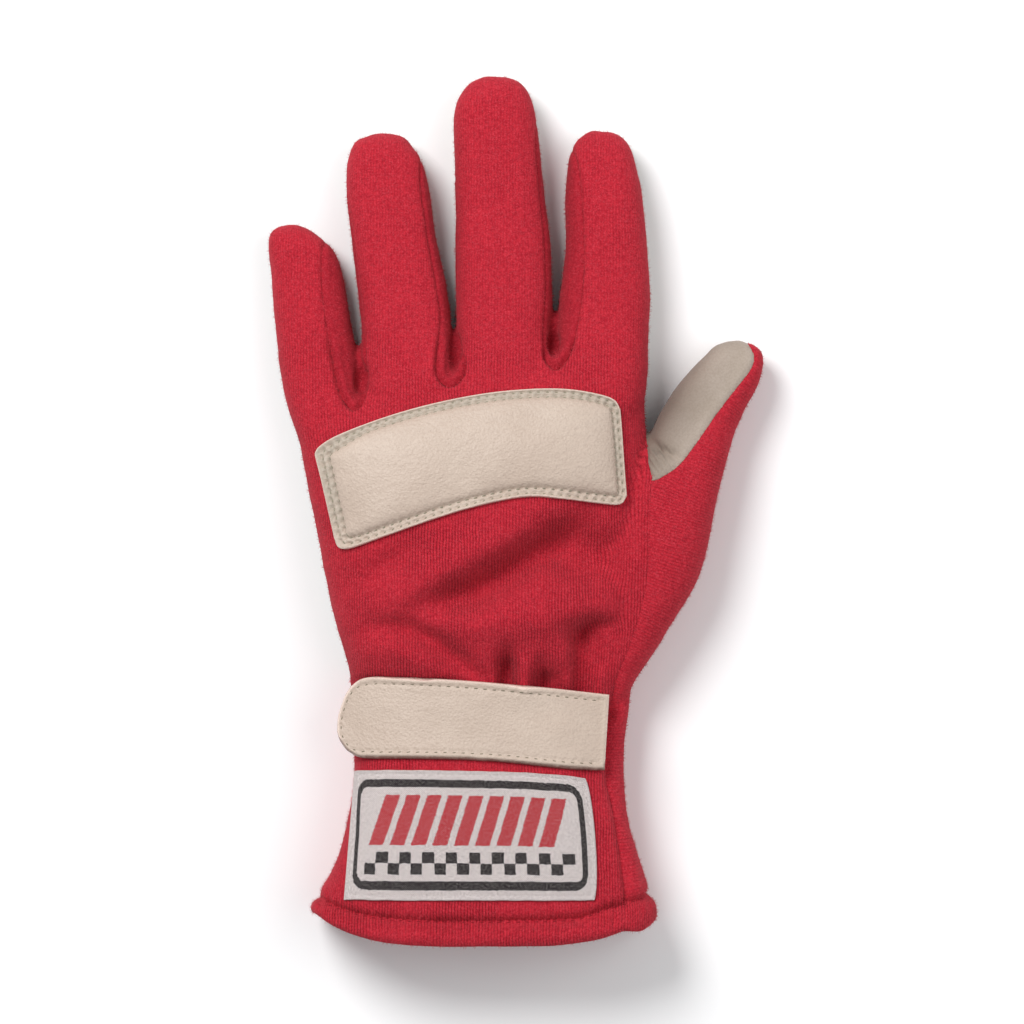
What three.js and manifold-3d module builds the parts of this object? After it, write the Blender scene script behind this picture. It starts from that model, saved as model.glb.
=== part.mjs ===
// A left-hand racing glove lying on its palm: red fleeced knit back, grey suede
// leather face, padded cream leather knuckle patch, wrist strap and cuff label.
// Millimetres. +Z up (back of the hand), +Y toward the fingertips, +X toward the
// thumb. The origin is the middle of the glove's outline, at the height it lies on.
import * as THREE from "three";
import { mergeVertices } from "three/addons/utils/BufferGeometryUtils.js";
import Module from "manifold-3d";

const wasm = await Module();
wasm.setup();

// ---- driving sizes ---------------------------------------------------------
const wall = 2.0; // knit and leather shell, fleece and lining together
const gap = 0.3; // between neighbouring pieces
const seamWidth = 0.3; // slit between two panels at a seam
const patchEdge = 1.6; // leather of the knuckle patch at its sewn border
const patchPad = 3.8; // and over its padding
const patchBorder = 8; // from the raw edge to full padding
const strapThick = 2.2; // wrist strap, two layers with turned edges
const labelThick = 1.0; // woven label
const hemPuff = 0.9; // how far the turned hem stands out from the cuff
const hemThick = 3.6; // the hem's two layers
const tallest = 80; // height of the cutting prisms, over everything
const wristLine = -48; // the leather palm ends here, the knit cuff begins

// Back of the hand, palm and cuff as one flattened tube. A row for each section:
// y along the hand, left and right edge, top height, squareness of the top,
// bow = how far the section's middle runs toward the wrist opening,
// slant = how far it leans toward the fingers on the thumb side (per mm of x).
const bodyRows = [
  { y: -115.5, left: -58.9, right: 40.9, top: 37.5, square: 3.6, bow: 9.7, slant: 0 },
  { y: -111.5, left: -57.2, right: 39.6, top: 37.3, square: 3.7, bow: 7.0, slant: 0 },
  { y: -104, left: -52.7, right: 36.8, top: 36.5, square: 3.9, bow: 3.5, slant: 0 },
  { y: -92.5, left: -49.2, right: 33.2, top: 35.0, square: 4.2, bow: 1.2, slant: 0 },
  { y: -81, left: -47.1, right: 31.8, top: 33.5, square: 4.3, bow: 0.2, slant: 0 },
  { y: -69.5, left: -46.8, right: 31.2, top: 32.0, square: 4.2, bow: 0, slant: 0 },
  { y: -58, left: -48.0, right: 32.2, top: 31.5, square: 3.9, bow: 0, slant: 0 },
  { y: -46, left: -48.6, right: 33.6, top: 32.5, square: 3.4, bow: 0, slant: 0 },
  { y: -34, left: -51.3, right: 34.8, top: 34.0, square: 3.0, bow: 0, slant: 0 },
  { y: -20, left: -54.6, right: 36.4, top: 35.0, square: 2.8, bow: 0, slant: 0 },
  { y: -3, left: -57.6, right: 38.0, top: 34.5, square: 2.7, bow: 0, slant: 0.02 },
  { y: 12, left: -60.4, right: 38.8, top: 33.0, square: 2.7, bow: 0, slant: 0.07 },
  { y: 24, left: -62.2, right: 38.4, top: 31.0, square: 2.6, bow: 0, slant: 0.14 },
  { y: 32, left: -63.5, right: 37.6, top: 28.5, square: 2.5, bow: 0, slant: 0.18 },
  { y: 38, left: -63.5, right: 36.5, top: 25.0, square: 2.4, bow: 0, slant: 0.2 },
  { y: 42, left: -62.0, right: 34.5, top: 20.5, square: 2.4, bow: 0, slant: 0.2 },
];
const bodyStations = [
  -111.5, -106, -98, -88.5, -79, -69.5, -60, -54, -49.5, -45.5, -41.5, -37.5, -33, -28, -22.5,
  -17, -11, -2, 8, 18, 26, 32, 37, 41.5,
];
const sideShare = 0.42; // the tube is widest at this share of its height
const floorSink = 1.2; // how far the round tube would reach below the floor
const bottomSquare = 4.5;
const bowSquare = 4; // how flat the curve of the cuff's end is in its middle
const topPoints = 26; // across the back
const bottomPoints = 8; // across the palm
const liningTopPoints = 20;
const liningBottomPoints = 6;

// Valleys pressed into the back, from one end to the other: where, how wide
// and how deep at each end.
const foldRows = [
  { name: "long valley", x0: 10, y0: -5, x1: -9, y1: -18.5, wide0: 6.5, wide1: 7, deep0: 0.8, deep1: 3.0 },
  { name: "its tail", x0: -9, y0: -18.5, x1: -31, y1: -25, wide0: 7, wide1: 6, deep0: 1.2, deep1: 0.8 },
  { name: "low valley", x0: -38, y0: -31, x1: -14, y1: -40, wide0: 5, wide1: 5, deep0: 1.0, deep1: 1.6 },
  { name: "gather", x0: -2.8, y0: -38.5, x1: -3.2, y1: -46, wide0: 4, wide1: 4, deep0: 1.0, deep1: 2.2 },
  { name: "gather", x0: 9.5, y0: -43, x1: 9.5, y1: -50, wide0: 5, wide1: 5, deep0: 1.0, deep1: 2.6 },
  { name: "deep pleat", x0: 22, y0: -35, x1: 20, y1: -51, wide0: 6, wide1: 4, deep0: 3.0, deep1: 7.0 },
  { name: "strap crease", x0: 30, y0: -49, x1: 31, y1: -62, wide0: 4, wide1: 4, deep0: 2.0, deep1: 0.5 },
];

// Fingers and thumb: a row for each section, its middle (x, y), its width across
// and its thickness, and how high its underside is.
const littleRows = [
  { x: -51, y: 10, wide: 17, thick: 24, low: -1.2 },
  { x: -53.8, y: 26, wide: 21.6, thick: 25, low: -1.2 },
  { x: -55.8, y: 38, wide: 23.7, thick: 23, low: -1.2 },
  { x: -57.3, y: 51, wide: 24.0, thick: 21.5, low: -1.2 },
  { x: -59.4, y: 62, wide: 22.0, thick: 20.5, low: -1.2 },
  { x: -61.2, y: 70, wide: 20.4, thick: 19.5, low: -1.0 },
  { x: -63.4, y: 76.5, wide: 18.4, thick: 18, low: -0.2 },
  { x: -65.0, y: 80.4, wide: 15, thick: 14, low: 1.8 },
  { x: -66.0, y: 82.6, wide: 8, thick: 8, low: 4.8 },
];
const ringRows = [
  { x: -28.5, y: 18, wide: 26, thick: 31, low: -1.2 },
  { x: -30.6, y: 38, wide: 28.8, thick: 27.5, low: -1.2 },
  { x: -30.9, y: 51, wide: 28.6, thick: 25, low: -1.2 },
  { x: -32.7, y: 64, wide: 26.2, thick: 23.5, low: -1.2 },
  { x: -34.8, y: 77, wide: 24.5, thick: 22.5, low: -1.2 },
  { x: -36.5, y: 90, wide: 24, thick: 21.5, low: -1.2 },
  { x: -37.6, y: 99, wide: 22.6, thick: 20, low: -1.0 },
  { x: -38.1, y: 104, wide: 19.5, thick: 17.5, low: 0.2 },
  { x: -38.1, y: 107.6, wide: 13.6, thick: 13, low: 2.3 },
  { x: -38.0, y: 109.3, wide: 6.5, thick: 7, low: 5 },
];
const middleRows = [
  { x: -2.4, y: 18, wide: 26, thick: 32, low: -1.2 },
  { x: -2.9, y: 38, wide: 28.8, thick: 28.5, low: -1.2 },
  { x: -3.1, y: 51, wide: 28, thick: 26, low: -1.2 },
  { x: -3.3, y: 64, wide: 27.5, thick: 25, low: -1.2 },
  { x: -3.7, y: 77, wide: 27, thick: 24, low: -1.2 },
  { x: -4.2, y: 90, wide: 25.6, thick: 23, low: -1.2 },
  { x: -4.9, y: 103, wide: 24.8, thick: 22, low: -1.2 },
  { x: -5.7, y: 112, wide: 24.4, thick: 21, low: -1.0 },
  { x: -6.0, y: 117, wide: 22.7, thick: 19.5, low: -0.4 },
  { x: -6.2, y: 121, wide: 19.4, thick: 17, low: 0.7 },
  { x: -6.4, y: 124.3, wide: 12.8, thick: 12, low: 2.8 },
  { x: -6.5, y: 125.8, wide: 6, thick: 6.5, low: 5.3 },
];
const indexRows = [
  { x: 22.6, y: 18, wide: 25, thick: 28, low: -1.2 },
  { x: 24.5, y: 38, wide: 28.6, thick: 28, low: -1.2 },
  { x: 24.9, y: 51, wide: 28.2, thick: 25.5, low: -1.2 },
  { x: 26.3, y: 64, wide: 25.8, thick: 24, low: -1.2 },
  { x: 26.6, y: 77, wide: 23.6, thick: 23, low: -1.2 },
  { x: 26.0, y: 90, wide: 22.1, thick: 22, low: -1.2 },
  { x: 25.4, y: 98.5, wide: 20, thick: 20.5, low: -0.8 },
  { x: 25.1, y: 103.5, wide: 17.8, thick: 18, low: 0.3 },
  { x: 24.7, y: 107.6, wide: 13, thick: 13.5, low: 2.1 },
  { x: 24.6, y: 109.9, wide: 6.5, thick: 7.5, low: 5 },
];
const thumbRows = [
  { x: 20, y: -57, wide: 18, thick: 26, low: -1.2 },
  { x: 26, y: -43, wide: 22, thick: 30, low: -1.2 },
  { x: 33, y: -29, wide: 25.6, thick: 31.5, low: -1.2 },
  { x: 39.3, y: -14, wide: 30.4, thick: 31, low: -1.2 },
  { x: 44.2, y: 1, wide: 29.4, thick: 29.5, low: -1.2 },
  { x: 48.7, y: 14, wide: 26.2, thick: 27, low: -1.2 },
  { x: 53.3, y: 24.5, wide: 22.4, thick: 24.5, low: -1.2 },
  { x: 58.3, y: 33.6, wide: 19.8, thick: 22, low: -1.0 },
  { x: 62.6, y: 40.4, wide: 18.2, thick: 19.5, low: 0 },
  { x: 65.6, y: 45, wide: 14.4, thick: 15, low: 2 },
  { x: 67.3, y: 48, wide: 7.5, thick: 8, low: 5.5 },
];
const fingerRows = [littleRows, ringRows, middleRows, indexRows];
const limbSquare = 2.35;
const limbPoints = 16;
const limbLiningPoints = 10;

// Seams seen from above, as corner points (x, y). Each side strip lies between
// the seam on one finger, round the crotch, and the seam on its neighbour.
const littleRingStrip = [
  [-47, 28.6], [-50.6, 32.4], [-52.6, 42], [-55, 56.5], [-55.4, 74.2], [-50.6, 78], [-50.6, 99],
  [-46.8, 98], [-46.3, 90], [-44.7, 77], [-43.5, 64], [-43, 51], [-43, 40], [-43.8, 32],
];
const ringMiddleStrip = [
  [-19.3, 35.6], [-22.3, 38.6], [-22.6, 43], [-20.6, 56.5], [-21.9, 62.6], [-24.5, 75],
  [-27.1, 89], [-28.8, 101], [-25.6, 104.5], [-20, 104.5], [-20, 113], [-15.5, 112.5],
  [-15.2, 90], [-15.3, 64], [-14.9, 51], [-14.8, 42.5], [-16, 38.2],
];
const middleIndexStrip = [
  [11.8, 40.4], [9, 43.5], [8.4, 48], [8.8, 64], [8.2, 77], [6.8, 90], [5.7, 103], [4.6, 111.5],
  [8.4, 113.5], [12.5, 113.5], [12.5, 104], [17.4, 102.5], [18.8, 97], [19.6, 87.5], [20.2, 77],
  [19.9, 64], [18.4, 54.7], [16.7, 48], [14.6, 43],
];
// The long seam down the thumb side: web, heel of the thumb, wrist, cuff.
const sideSeam = [
  [39.4, 7.6], [38.9, -6], [38.5, -19.2], [36.4, -29.4], [33.6, -38.6], [28.4, -51.4],
  [26.5, -76.6], [28.5, -83.6], [29.8, -91.7], [31.2, -101], [32.8, -114], [33.4, -135],
];
// The seam up the thumb, between its leather face and its knit back.
const thumbSeam = [
  [45.4, 12.1], [49.7, 16.2], [54.4, 22], [60.2, 30.2], [65.7, 38.3], [69.2, 41.9], [69.8, 44.8],
  [68.2, 47.4], [68.6, 60],
];
const webEdge = 39.4; // x of the hand's edge where the thumb's leather goes under it
// Height of the seam between back and face along the glove's outer edges.
const edgeSeam = [
  { y: -140, z: 15 },
  { y: -50, z: 14 },
  { y: 0, z: 13 },
  { y: 45, z: 10 },
  { y: 140, z: 8.5 },
];

// Knuckle patch: the ends of each cross line, on its upper and its lower edge.
const patchRows = [
  { topX: -57.6, topY: 16.4, lowX: -52.2, lowY: -7.6 },
  { topX: -56.2, topY: 18.7, lowX: -50.6, lowY: -10.4 },
  { topX: -50.3, topY: 22.2, lowX: -47.2, lowY: -10.9 },
  { topX: -37, topY: 27.2, lowX: -38, lowY: -7.7 },
  { topX: -23.6, topY: 31, lowX: -27, lowY: -3.8 },
  { topX: -8.8, topY: 33.9, lowX: -13, lowY: 0.6 },
  { topX: 4.5, topY: 35.2, lowX: 2, lowY: 3.7 },
  { topX: 15, topY: 35.2, lowX: 13, lowY: 3.4 },
  { topX: 23.6, topY: 33.9, lowX: 23, lowY: 2.2 },
  { topX: 28.6, topY: 32.2, lowX: 30, lowY: 1.7 },
  { topX: 30.6, topY: 29.4, lowX: 32.5, lowY: 4.2 },
];
const patchLines = 5;
// Wrist strap, in the same way, from the rounded tab to the square end.
const strapRows = [
  { topX: -50.1, topY: -58.5, lowX: -49.8, lowY: -65.5 },
  { topX: -48.5, topY: -54.2, lowX: -47.9, lowY: -69.6 },
  { topX: -45.8, topY: -50.8, lowX: -44.6, lowY: -71 },
  { topX: -42.6, topY: -48.6, lowX: -41.5, lowY: -71.1 },
  { topX: -36, topY: -48.2, lowX: -36, lowY: -71.1 },
  { topX: -27.4, topY: -48.2, lowX: -27.4, lowY: -71.1 },
  { topX: -15.5, topY: -48.8, lowX: -15.5, lowY: -71.4 },
  { topX: -3, topY: -49.8, lowX: -3, lowY: -72.2 },
  { topX: 7.7, topY: -50.8, lowX: 7.7, lowY: -73.5 },
  { topX: 18, topY: -52, lowX: 17.2, lowY: -74.6 },
  { topX: 27.4, topY: -53.1, lowX: 26, lowY: -74.9 },
];
const strapLines = 4;
const strapLift = { from: -36, rise: 0.34 }; // left of this the stiff tab falls less than the wrist
// Cuff label, from left to right.
const labelRows = [
  { topX: -45.2, topY: -76.3, lowX: -48.4, lowY: -112 },
  { topX: -43.6, topY: -76.1, lowX: -46.4, lowY: -112.1 },
  { topX: -41, topY: -75.9, lowX: -43, lowY: -112.2 },
  { topX: -32, topY: -75.6, lowX: -33, lowY: -112.3 },
  { topX: -21, topY: -75.5, lowX: -21, lowY: -112.3 },
  { topX: -9, topY: -75.6, lowX: -8.5, lowY: -112.3 },
  { topX: 3, topY: -75.8, lowX: 4.5, lowY: -112.3 },
  { topX: 13, topY: -76.8, lowX: 15.5, lowY: -112.3 },
  { topX: 20.4, topY: -78.6, lowX: 23, lowY: -112.2 },
];
const labelLines = 3;
// Cross-section of the turned hem, from its groove to the opening: where along
// the cuff and how far out.
const hemRows = [
  { y: -112.0, out: 0.1 },
  { y: -112.7, out: 0.8 },
  { y: -114.2, out: 1.0 },
  { y: -115.8, out: 0.6 },
  { y: -116.4, out: -0.9 },
];

const colours = {
  knit: { color: "#b4202f", roughness: 0.95 },
  suede: { color: "#a5988b", roughness: 0.9 },
  cream: { color: "#d8cab6", roughness: 0.6 },
  label: { color: "#cfc8c6", roughness: 0.8 },
};

// ---- helpers ---------------------------------------------------------------
const mix = THREE.MathUtils.lerp;
const clamp = THREE.MathUtils.clamp;

// One column of a table at any y: a smooth curve through its rows.
function column(rows, key, y) {
  const last = rows.length - 1;
  let i = 0;
  while (i < last - 1 && y > rows[i + 1].y) i++;
  const a = rows[Math.max(i - 1, 0)];
  const b = rows[i];
  const c = rows[i + 1];
  const d = rows[Math.min(i + 2, last)];
  const span = c.y - b.y;
  const t = (y - b.y) / span;
  if (t < 0 || t > 1) return mix(b[key], c[key], t);
  const slopeB = ((c[key] - a[key]) / (c.y - a.y)) * span;
  const slopeC = ((d[key] - b[key]) / (d.y - b.y)) * span;
  const t2 = t * t;
  const t3 = t2 * t;
  return (
    (2 * t3 - 3 * t2 + 1) * b[key] +
    (t3 - 2 * t2 + t) * slopeB +
    (3 * t2 - 2 * t3) * c[key] +
    (t3 - t2) * slopeC
  );
}

// How deep the folds press the back in at a place seen from above.
function foldDepth(x, y) {
  let depth = 0;
  for (const f of foldRows) {
    const dx = f.x1 - f.x0;
    const dy = f.y1 - f.y0;
    const t = clamp(((x - f.x0) * dx + (y - f.y0) * dy) / (dx * dx + dy * dy), 0, 1);
    const away = Math.hypot(x - f.x0 - t * dx, y - f.y0 - t * dy);
    const wide = mix(f.wide0, f.wide1, t);
    depth = Math.max(depth, mix(f.deep0, f.deep1, t) * Math.exp(-((away / wide) ** 2)));
  }
  return depth;
}

// Half of a squared ellipse, points spread evenly along it, from +x to -x.
function archPoints(halfWide, high, square, count) {
  const fine = [];
  for (let i = 0; i <= 160; i++) {
    const a = (Math.PI * i) / 160;
    const c = Math.cos(a);
    const s = Math.sin(a);
    fine.push([
      Math.sign(c) * halfWide * Math.abs(c) ** (2 / square),
      high * Math.max(s, 0) ** (2 / square),
    ]);
  }
  const run = [0];
  for (let i = 1; i < fine.length; i++) {
    run.push(run[i - 1] + Math.hypot(fine[i][0] - fine[i - 1][0], fine[i][1] - fine[i - 1][1]));
  }
  const points = [];
  let k = 0;
  for (let i = 0; i <= count; i++) {
    const want = (run[run.length - 1] * i) / count;
    while (k < run.length - 2 && run[k + 1] < want) k++;
    const t = clamp((want - run[k]) / (run[k + 1] - run[k]), 0, 1);
    points.push([mix(fine[k][0], fine[k + 1][0], t), mix(fine[k][1], fine[k + 1][1], t)]);
  }
  return points;
}

// A whole section: arch above the widest line, flatter arch below it.
function sectionPoints(halfWide, above, below, square, lowSquare, nTop, nLow) {
  const top = archPoints(halfWide, above, square, nTop);
  const low = archPoints(halfWide, below, lowSquare, nLow);
  const ring = top.map(([x, z]) => [x, z]);
  for (let i = 1; i < low.length - 1; i++) ring.push([-low[i][0], -low[i][1]]);
  return ring;
}

// Closed solid through rings of equal count, with a middle point at each end.
function loft(rings) {
  const n = rings[0].length;
  const flat = rings.flat();
  const firstMid = new THREE.Vector3();
  const lastMid = new THREE.Vector3();
  rings[0].forEach((p) => firstMid.addScaledVector(p, 1 / n));
  rings[rings.length - 1].forEach((p) => lastMid.addScaledVector(p, 1 / n));
  const points = [...flat, firstMid, lastMid];
  const index = [];
  for (let j = 0; j < rings.length - 1; j++) {
    for (let i = 0; i < n; i++) {
      const a = j * n + i;
      const b = j * n + ((i + 1) % n);
      index.push(a, b, b + n, a, b + n, a + n);
    }
  }
  const end = (rings.length - 1) * n;
  for (let i = 0; i < n; i++) {
    const k = (i + 1) % n;
    index.push(flat.length, k, i);
    index.push(flat.length + 1, end + i, end + k);
  }
  const geometry = new THREE.BufferGeometry().setFromPoints(points);
  geometry.setIndex(index);
  return geometry;
}

// Makes a cutting and joining solid of a closed geometry.
function solid(geometry) {
  const bare = geometry.clone();
  bare.deleteAttribute("normal");
  bare.deleteAttribute("uv");
  const merged = mergeVertices(bare, 1e-4);
  const mesh = new wasm.Mesh({
    numProp: 3,
    vertProperties: new Float32Array(merged.attributes.position.array),
    triVerts: new Uint32Array(merged.index.array),
  });
  const made = new wasm.Manifold(mesh);
  return made.volume() < 0 ? turned(merged) : made;
}

// The same, for a geometry whose faces point inward.
function turned(merged) {
  const index = Array.from(merged.index.array);
  for (let i = 0; i < index.length; i += 3) [index[i], index[i + 1]] = [index[i + 1], index[i]];
  return new wasm.Manifold(
    new wasm.Mesh({
      numProp: 3,
      vertProperties: new Float32Array(merged.attributes.position.array),
      triVerts: new Uint32Array(index),
    }),
  );
}

// Where a body section's point lies, with its bow and slant along the hand.
function bodyPlace(y, x, z, middle, half) {
  const u = clamp(Math.abs((x - middle) / half), 0, 1);
  const bow = column(bodyRows, "bow", y) * (1 - u ** bowSquare);
  const slant = column(bodyRows, "slant", y) * (x - middle);
  return new THREE.Vector3(x, y - bow + slant, z);
}

// The tube of the hand and cuff, moved out by an offset (in by a negative one).
function bodyTube(stations, offset, lowest, nTop, nLow, shift = 0) {
  return loft(
    stations.map((y) => {
      const left = column(bodyRows, "left", y) - offset;
      const right = column(bodyRows, "right", y) + offset;
      const top = column(bodyRows, "top", y) + offset;
      const middle = (left + right) / 2;
      const half = (right - left) / 2;
      const side = (column(bodyRows, "top", y) + floorSink) * sideShare - floorSink;
      const above = top - side;
      const below = side - lowest;
      const square = column(bodyRows, "square", y);
      return sectionPoints(half, above, below, square, bottomSquare, nTop, nLow).map(([x, z]) => {
        const place = bodyPlace(y + shift, middle + x, side + z, middle, half);
        place.z -= foldDepth(place.x, place.y) * clamp(z / (above * 0.6), 0, 1);
        return place;
      });
    }),
  );
}

// The higher of two heights, rounded where they meet.
function higher(a, b, soft) {
  return Math.max(a, b) + Math.max(soft - Math.abs(a - b), 0) ** 2 / (4 * soft);
}

// Height of a finger's back at a place seen from above.
function limbHeight(rows, x, y) {
  if (y < rows[0].y || y > rows[rows.length - 1].y) return 0;
  const u = Math.abs(x - column(rows, "x", y)) / (column(rows, "wide", y) / 2);
  const thick = column(rows, "thick", y);
  const side = column(rows, "low", y) + thick * 0.46;
  return u < 1 ? side + thick * 0.54 * (1 - u ** limbSquare) ** (1 / limbSquare) : side;
}

// Height of the back of the glove at a place seen from above, folds filled.
function backHeight(x, y) {
  let row = y;
  for (let i = 0; i < 4; i++) {
    const left = column(bodyRows, "left", row);
    const right = column(bodyRows, "right", row);
    const middle = (left + right) / 2;
    const u = clamp(Math.abs((x - middle) / ((right - left) / 2)), 0, 1);
    row = y + column(bodyRows, "bow", row) * (1 - u ** bowSquare) - column(bodyRows, "slant", row) * (x - middle);
  }
  const left = column(bodyRows, "left", row);
  const right = column(bodyRows, "right", row);
  const top = column(bodyRows, "top", row);
  const side = (top + floorSink) * sideShare - floorSink;
  const square = column(bodyRows, "square", row);
  const u = clamp(Math.abs((x - (left + right) / 2) / ((right - left) / 2)), 0, 0.985);
  const rise = (1 - u ** square) ** (1 / square) * (top - side);
  return fingerRows.reduce((high, rows) => higher(high, limbHeight(rows, x, y), 1.5), side + rise);
}

// A finger or the thumb, moved out or in by an offset, ending short by as much.
function limbTube(rows, offset, lowest, points) {
  const middles = rows.map((r) => new THREE.Vector3(r.x, r.y, 0));
  return loft(
    rows.map((r, i) => {
      const before = middles[Math.max(i - 1, 0)];
      const after = middles[Math.min(i + 1, rows.length - 1)];
      const along = after.clone().sub(before).normalize();
      const across = new THREE.Vector3(along.y, -along.x, 0);
      const toTip = i / (rows.length - 1);
      const back = offset < 0 ? offset * clamp((toTip - 0.55) / 0.45, 0, 1) : 0;
      const middle = middles[i].clone().addScaledVector(along, back);
      const half = Math.max(r.wide / 2 + offset, 1.2);
      const side = r.low + r.thick * 0.46;
      const above = Math.max(r.thick * 0.54 + offset, 1.2);
      const below = Math.max(side - Math.max(r.low, lowest), 1.0);
      const nTop = Math.ceil(points * 0.56);
      return sectionPoints(half, above, below, limbSquare, 2.6, nTop, points - nTop).map(([x, z]) => {
        const p = middle.clone().addScaledVector(across, x);
        p.z = side + z;
        return p;
      });
    }),
  );
}

// A prism over a plan outline.
function prism(corners, from = -10, high = tallest) {
  const shape = new THREE.Shape(corners.map(([x, y]) => new THREE.Vector2(x, y)));
  const geometry = new THREE.ExtrudeGeometry(shape, { depth: high, bevelEnabled: false, steps: 1 });
  geometry.translate(0, 0, from);
  return solid(geometry);
}

// A plan outline grown on all sides by a distance (for the slit of a seam).
function grown(corners, by) {
  const n = corners.length;
  const area = corners.reduce((sum, [x, y], i) => {
    const [u, v] = corners[(i + 1) % n];
    return sum + x * v - u * y;
  }, 0);
  const turn = area > 0 ? 1 : -1;
  return corners.map(([x, y], i) => {
    const [px, py] = corners[(i + n - 1) % n];
    const [nx, ny] = corners[(i + 1) % n];
    const a = new THREE.Vector2(x - px, y - py).normalize();
    const b = new THREE.Vector2(nx - x, ny - y).normalize();
    const out = new THREE.Vector2((a.y + b.y) * turn, -(a.x + b.x) * turn);
    const miter = 1 / Math.max(0.45, 0.5 * out.length());
    out.normalize();
    return [x + out.x * by * miter, y + out.y * by * miter];
  });
}

// Everything below (or above) a line of heights along y.
function underLine(rows, shift) {
  const shape = new THREE.Shape();
  shape.moveTo(rows[0].y, -20);
  rows.forEach((r) => shape.lineTo(r.y, r.z + shift));
  shape.lineTo(rows[rows.length - 1].y, -20);
  shape.closePath();
  const geometry = new THREE.ExtrudeGeometry(shape, { depth: 300, bevelEnabled: false, steps: 1 });
  // the outline was drawn in (y, z); turn it so that it runs along x
  const turn = new THREE.Matrix4().makeBasis(
    new THREE.Vector3(0, 1, 0),
    new THREE.Vector3(0, 0, 1),
    new THREE.Vector3(1, 0, 0),
  );
  geometry.applyMatrix4(turn);
  geometry.translate(-150, 0, 0);
  return solid(geometry);
}

// A sheet laid on the back: cross lines from a table, thickness by place.
function laid(rows, lines, thickness, height, clear) {
  const lower = [];
  const upper = [];
  const n = rows.length;
  for (let i = 0; i < n; i++) {
    for (let j = 0; j <= lines; j++) {
      const v = j / lines;
      const x = mix(rows[i].topX, rows[i].lowX, v);
      const y = mix(rows[i].topY, rows[i].lowY, v);
      const h = height(x, y);
      const step = 1.2;
      const slopeX = (height(x + step, y) - height(x - step, y)) / (2 * step);
      const slopeY = (height(x, y + step) - height(x, y - step)) / (2 * step);
      const out = new THREE.Vector3(-slopeX, -slopeY, 1).normalize();
      const edge = Math.min(i, n - 1 - i, j, lines - j);
      const at = new THREE.Vector3(x, y, h);
      lower.push(at.clone().addScaledVector(out, gap + clear));
      upper.push(at.clone().addScaledVector(out, gap + clear + thickness(edge)));
    }
  }
  const w = lines + 1;
  const index = [];
  const under = upper.length;
  const face = (a, b, c, d) => index.push(a, b, c, a, c, d);
  for (let i = 0; i < n - 1; i++) {
    for (let j = 0; j < lines; j++) {
      const a = i * w + j;
      face(a, a + 1, a + 1 + w, a + w);
      face(under + a, under + a + w, under + a + 1 + w, under + a + 1);
    }
  }
  for (let i = 0; i < n - 1; i++) {
    const a = i * w;
    const b = i * w + lines;
    face(a, a + w, under + a + w, under + a);
    face(b + w, b, under + b, under + b + w);
  }
  for (let j = 0; j < lines; j++) {
    const a = j;
    const b = (n - 1) * w + j;
    face(a + 1, a, under + a, under + a + 1);
    face(b, b + 1, under + b + 1, under + b);
  }
  const geometry = new THREE.BufferGeometry().setFromPoints([...upper, ...lower]);
  geometry.setIndex(index);
  return solid(geometry);
}

// The largest connected body of a result: cuts leave no crumbs behind.
function mainBody(made) {
  const bodies = made.decompose();
  bodies.sort((a, b) => b.volume() - a.volume());
  return bodies[0];
}

function meshOf(name, made, look) {
  const got = made.getMesh();
  const geometry = new THREE.BufferGeometry();
  geometry.setAttribute("position", new THREE.BufferAttribute(new Float32Array(got.vertProperties), 3));
  geometry.setIndex(new THREE.BufferAttribute(new Uint32Array(got.triVerts), 1));
  const mesh = new THREE.Mesh(
    geometry,
    new THREE.MeshStandardMaterial({ color: look.color, roughness: look.roughness, metalness: 0 }),
  );
  mesh.name = name;
  return mesh;
}

// ---- the shell -------------------------------------------------------------
const aboveFloor = solid(new THREE.BoxGeometry(400, 400, 200).translate(0, 0, 100));
const aboveLining = solid(new THREE.BoxGeometry(400, 400, 200).translate(0, 0, 100 + wall));

function whole(offset, stations, nTop, nLow, limb, lowest) {
  let made = solid(bodyTube(stations, offset, lowest, nTop, nLow));
  for (const rows of fingerRows) made = made.add(solid(limbTube(rows, offset, lowest, limb)));
  return made.add(solid(limbTube(thumbRows, offset, lowest, limb)));
}

const outside = whole(0, bodyStations, topPoints, bottomPoints, limbPoints, -floorSink).intersect(aboveFloor);
const hollowStations = [-119, ...bodyStations.slice(0, -1).map((y) => (y > 30 ? y - wall : y))];
const hollow = whole(-wall, hollowStations, liningTopPoints, liningBottomPoints, limbLiningPoints, wall - 1.0).intersect(aboveLining);
const shell = outside.subtract(hollow);

// ---- panels ----------------------------------------------------------------
const strips = [
  ["fourchette_little_ring", littleRingStrip],
  ["fourchette_ring_middle", ringMiddleStrip],
  ["fourchette_middle_index", middleIndexStrip],
];
const sideOutline = [
  ...sideSeam,
  [120, -135],
  [120, 60],
  ...[...thumbSeam].reverse(),
];
const faceOutline = [
  [webEdge, 7.9],
  ...thumbSeam,
  [webEdge, 60],
];
const leather = underLine(edgeSeam, 0);
const leatherGrown = underLine(edgeSeam, seamWidth);
const cuffSide = prism([
  [-120, -140],
  [60, -140],
  [60, wristLine],
  [-120, wristLine],
]);
const cuffSideGrown = prism([
  [-120, -140],
  [60, -140],
  [60, wristLine + seamWidth],
  [-120, wristLine + seamWidth],
]);

const stripCuts = strips.map(([name, corners]) => [name, prism(corners), prism(grown(corners, seamWidth))]);
const side = prism(sideOutline);
const sideGrown = prism(grown(sideOutline, seamWidth));
const face = prism(faceOutline);
const faceGrown = prism(grown(faceOutline, seamWidth));

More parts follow.
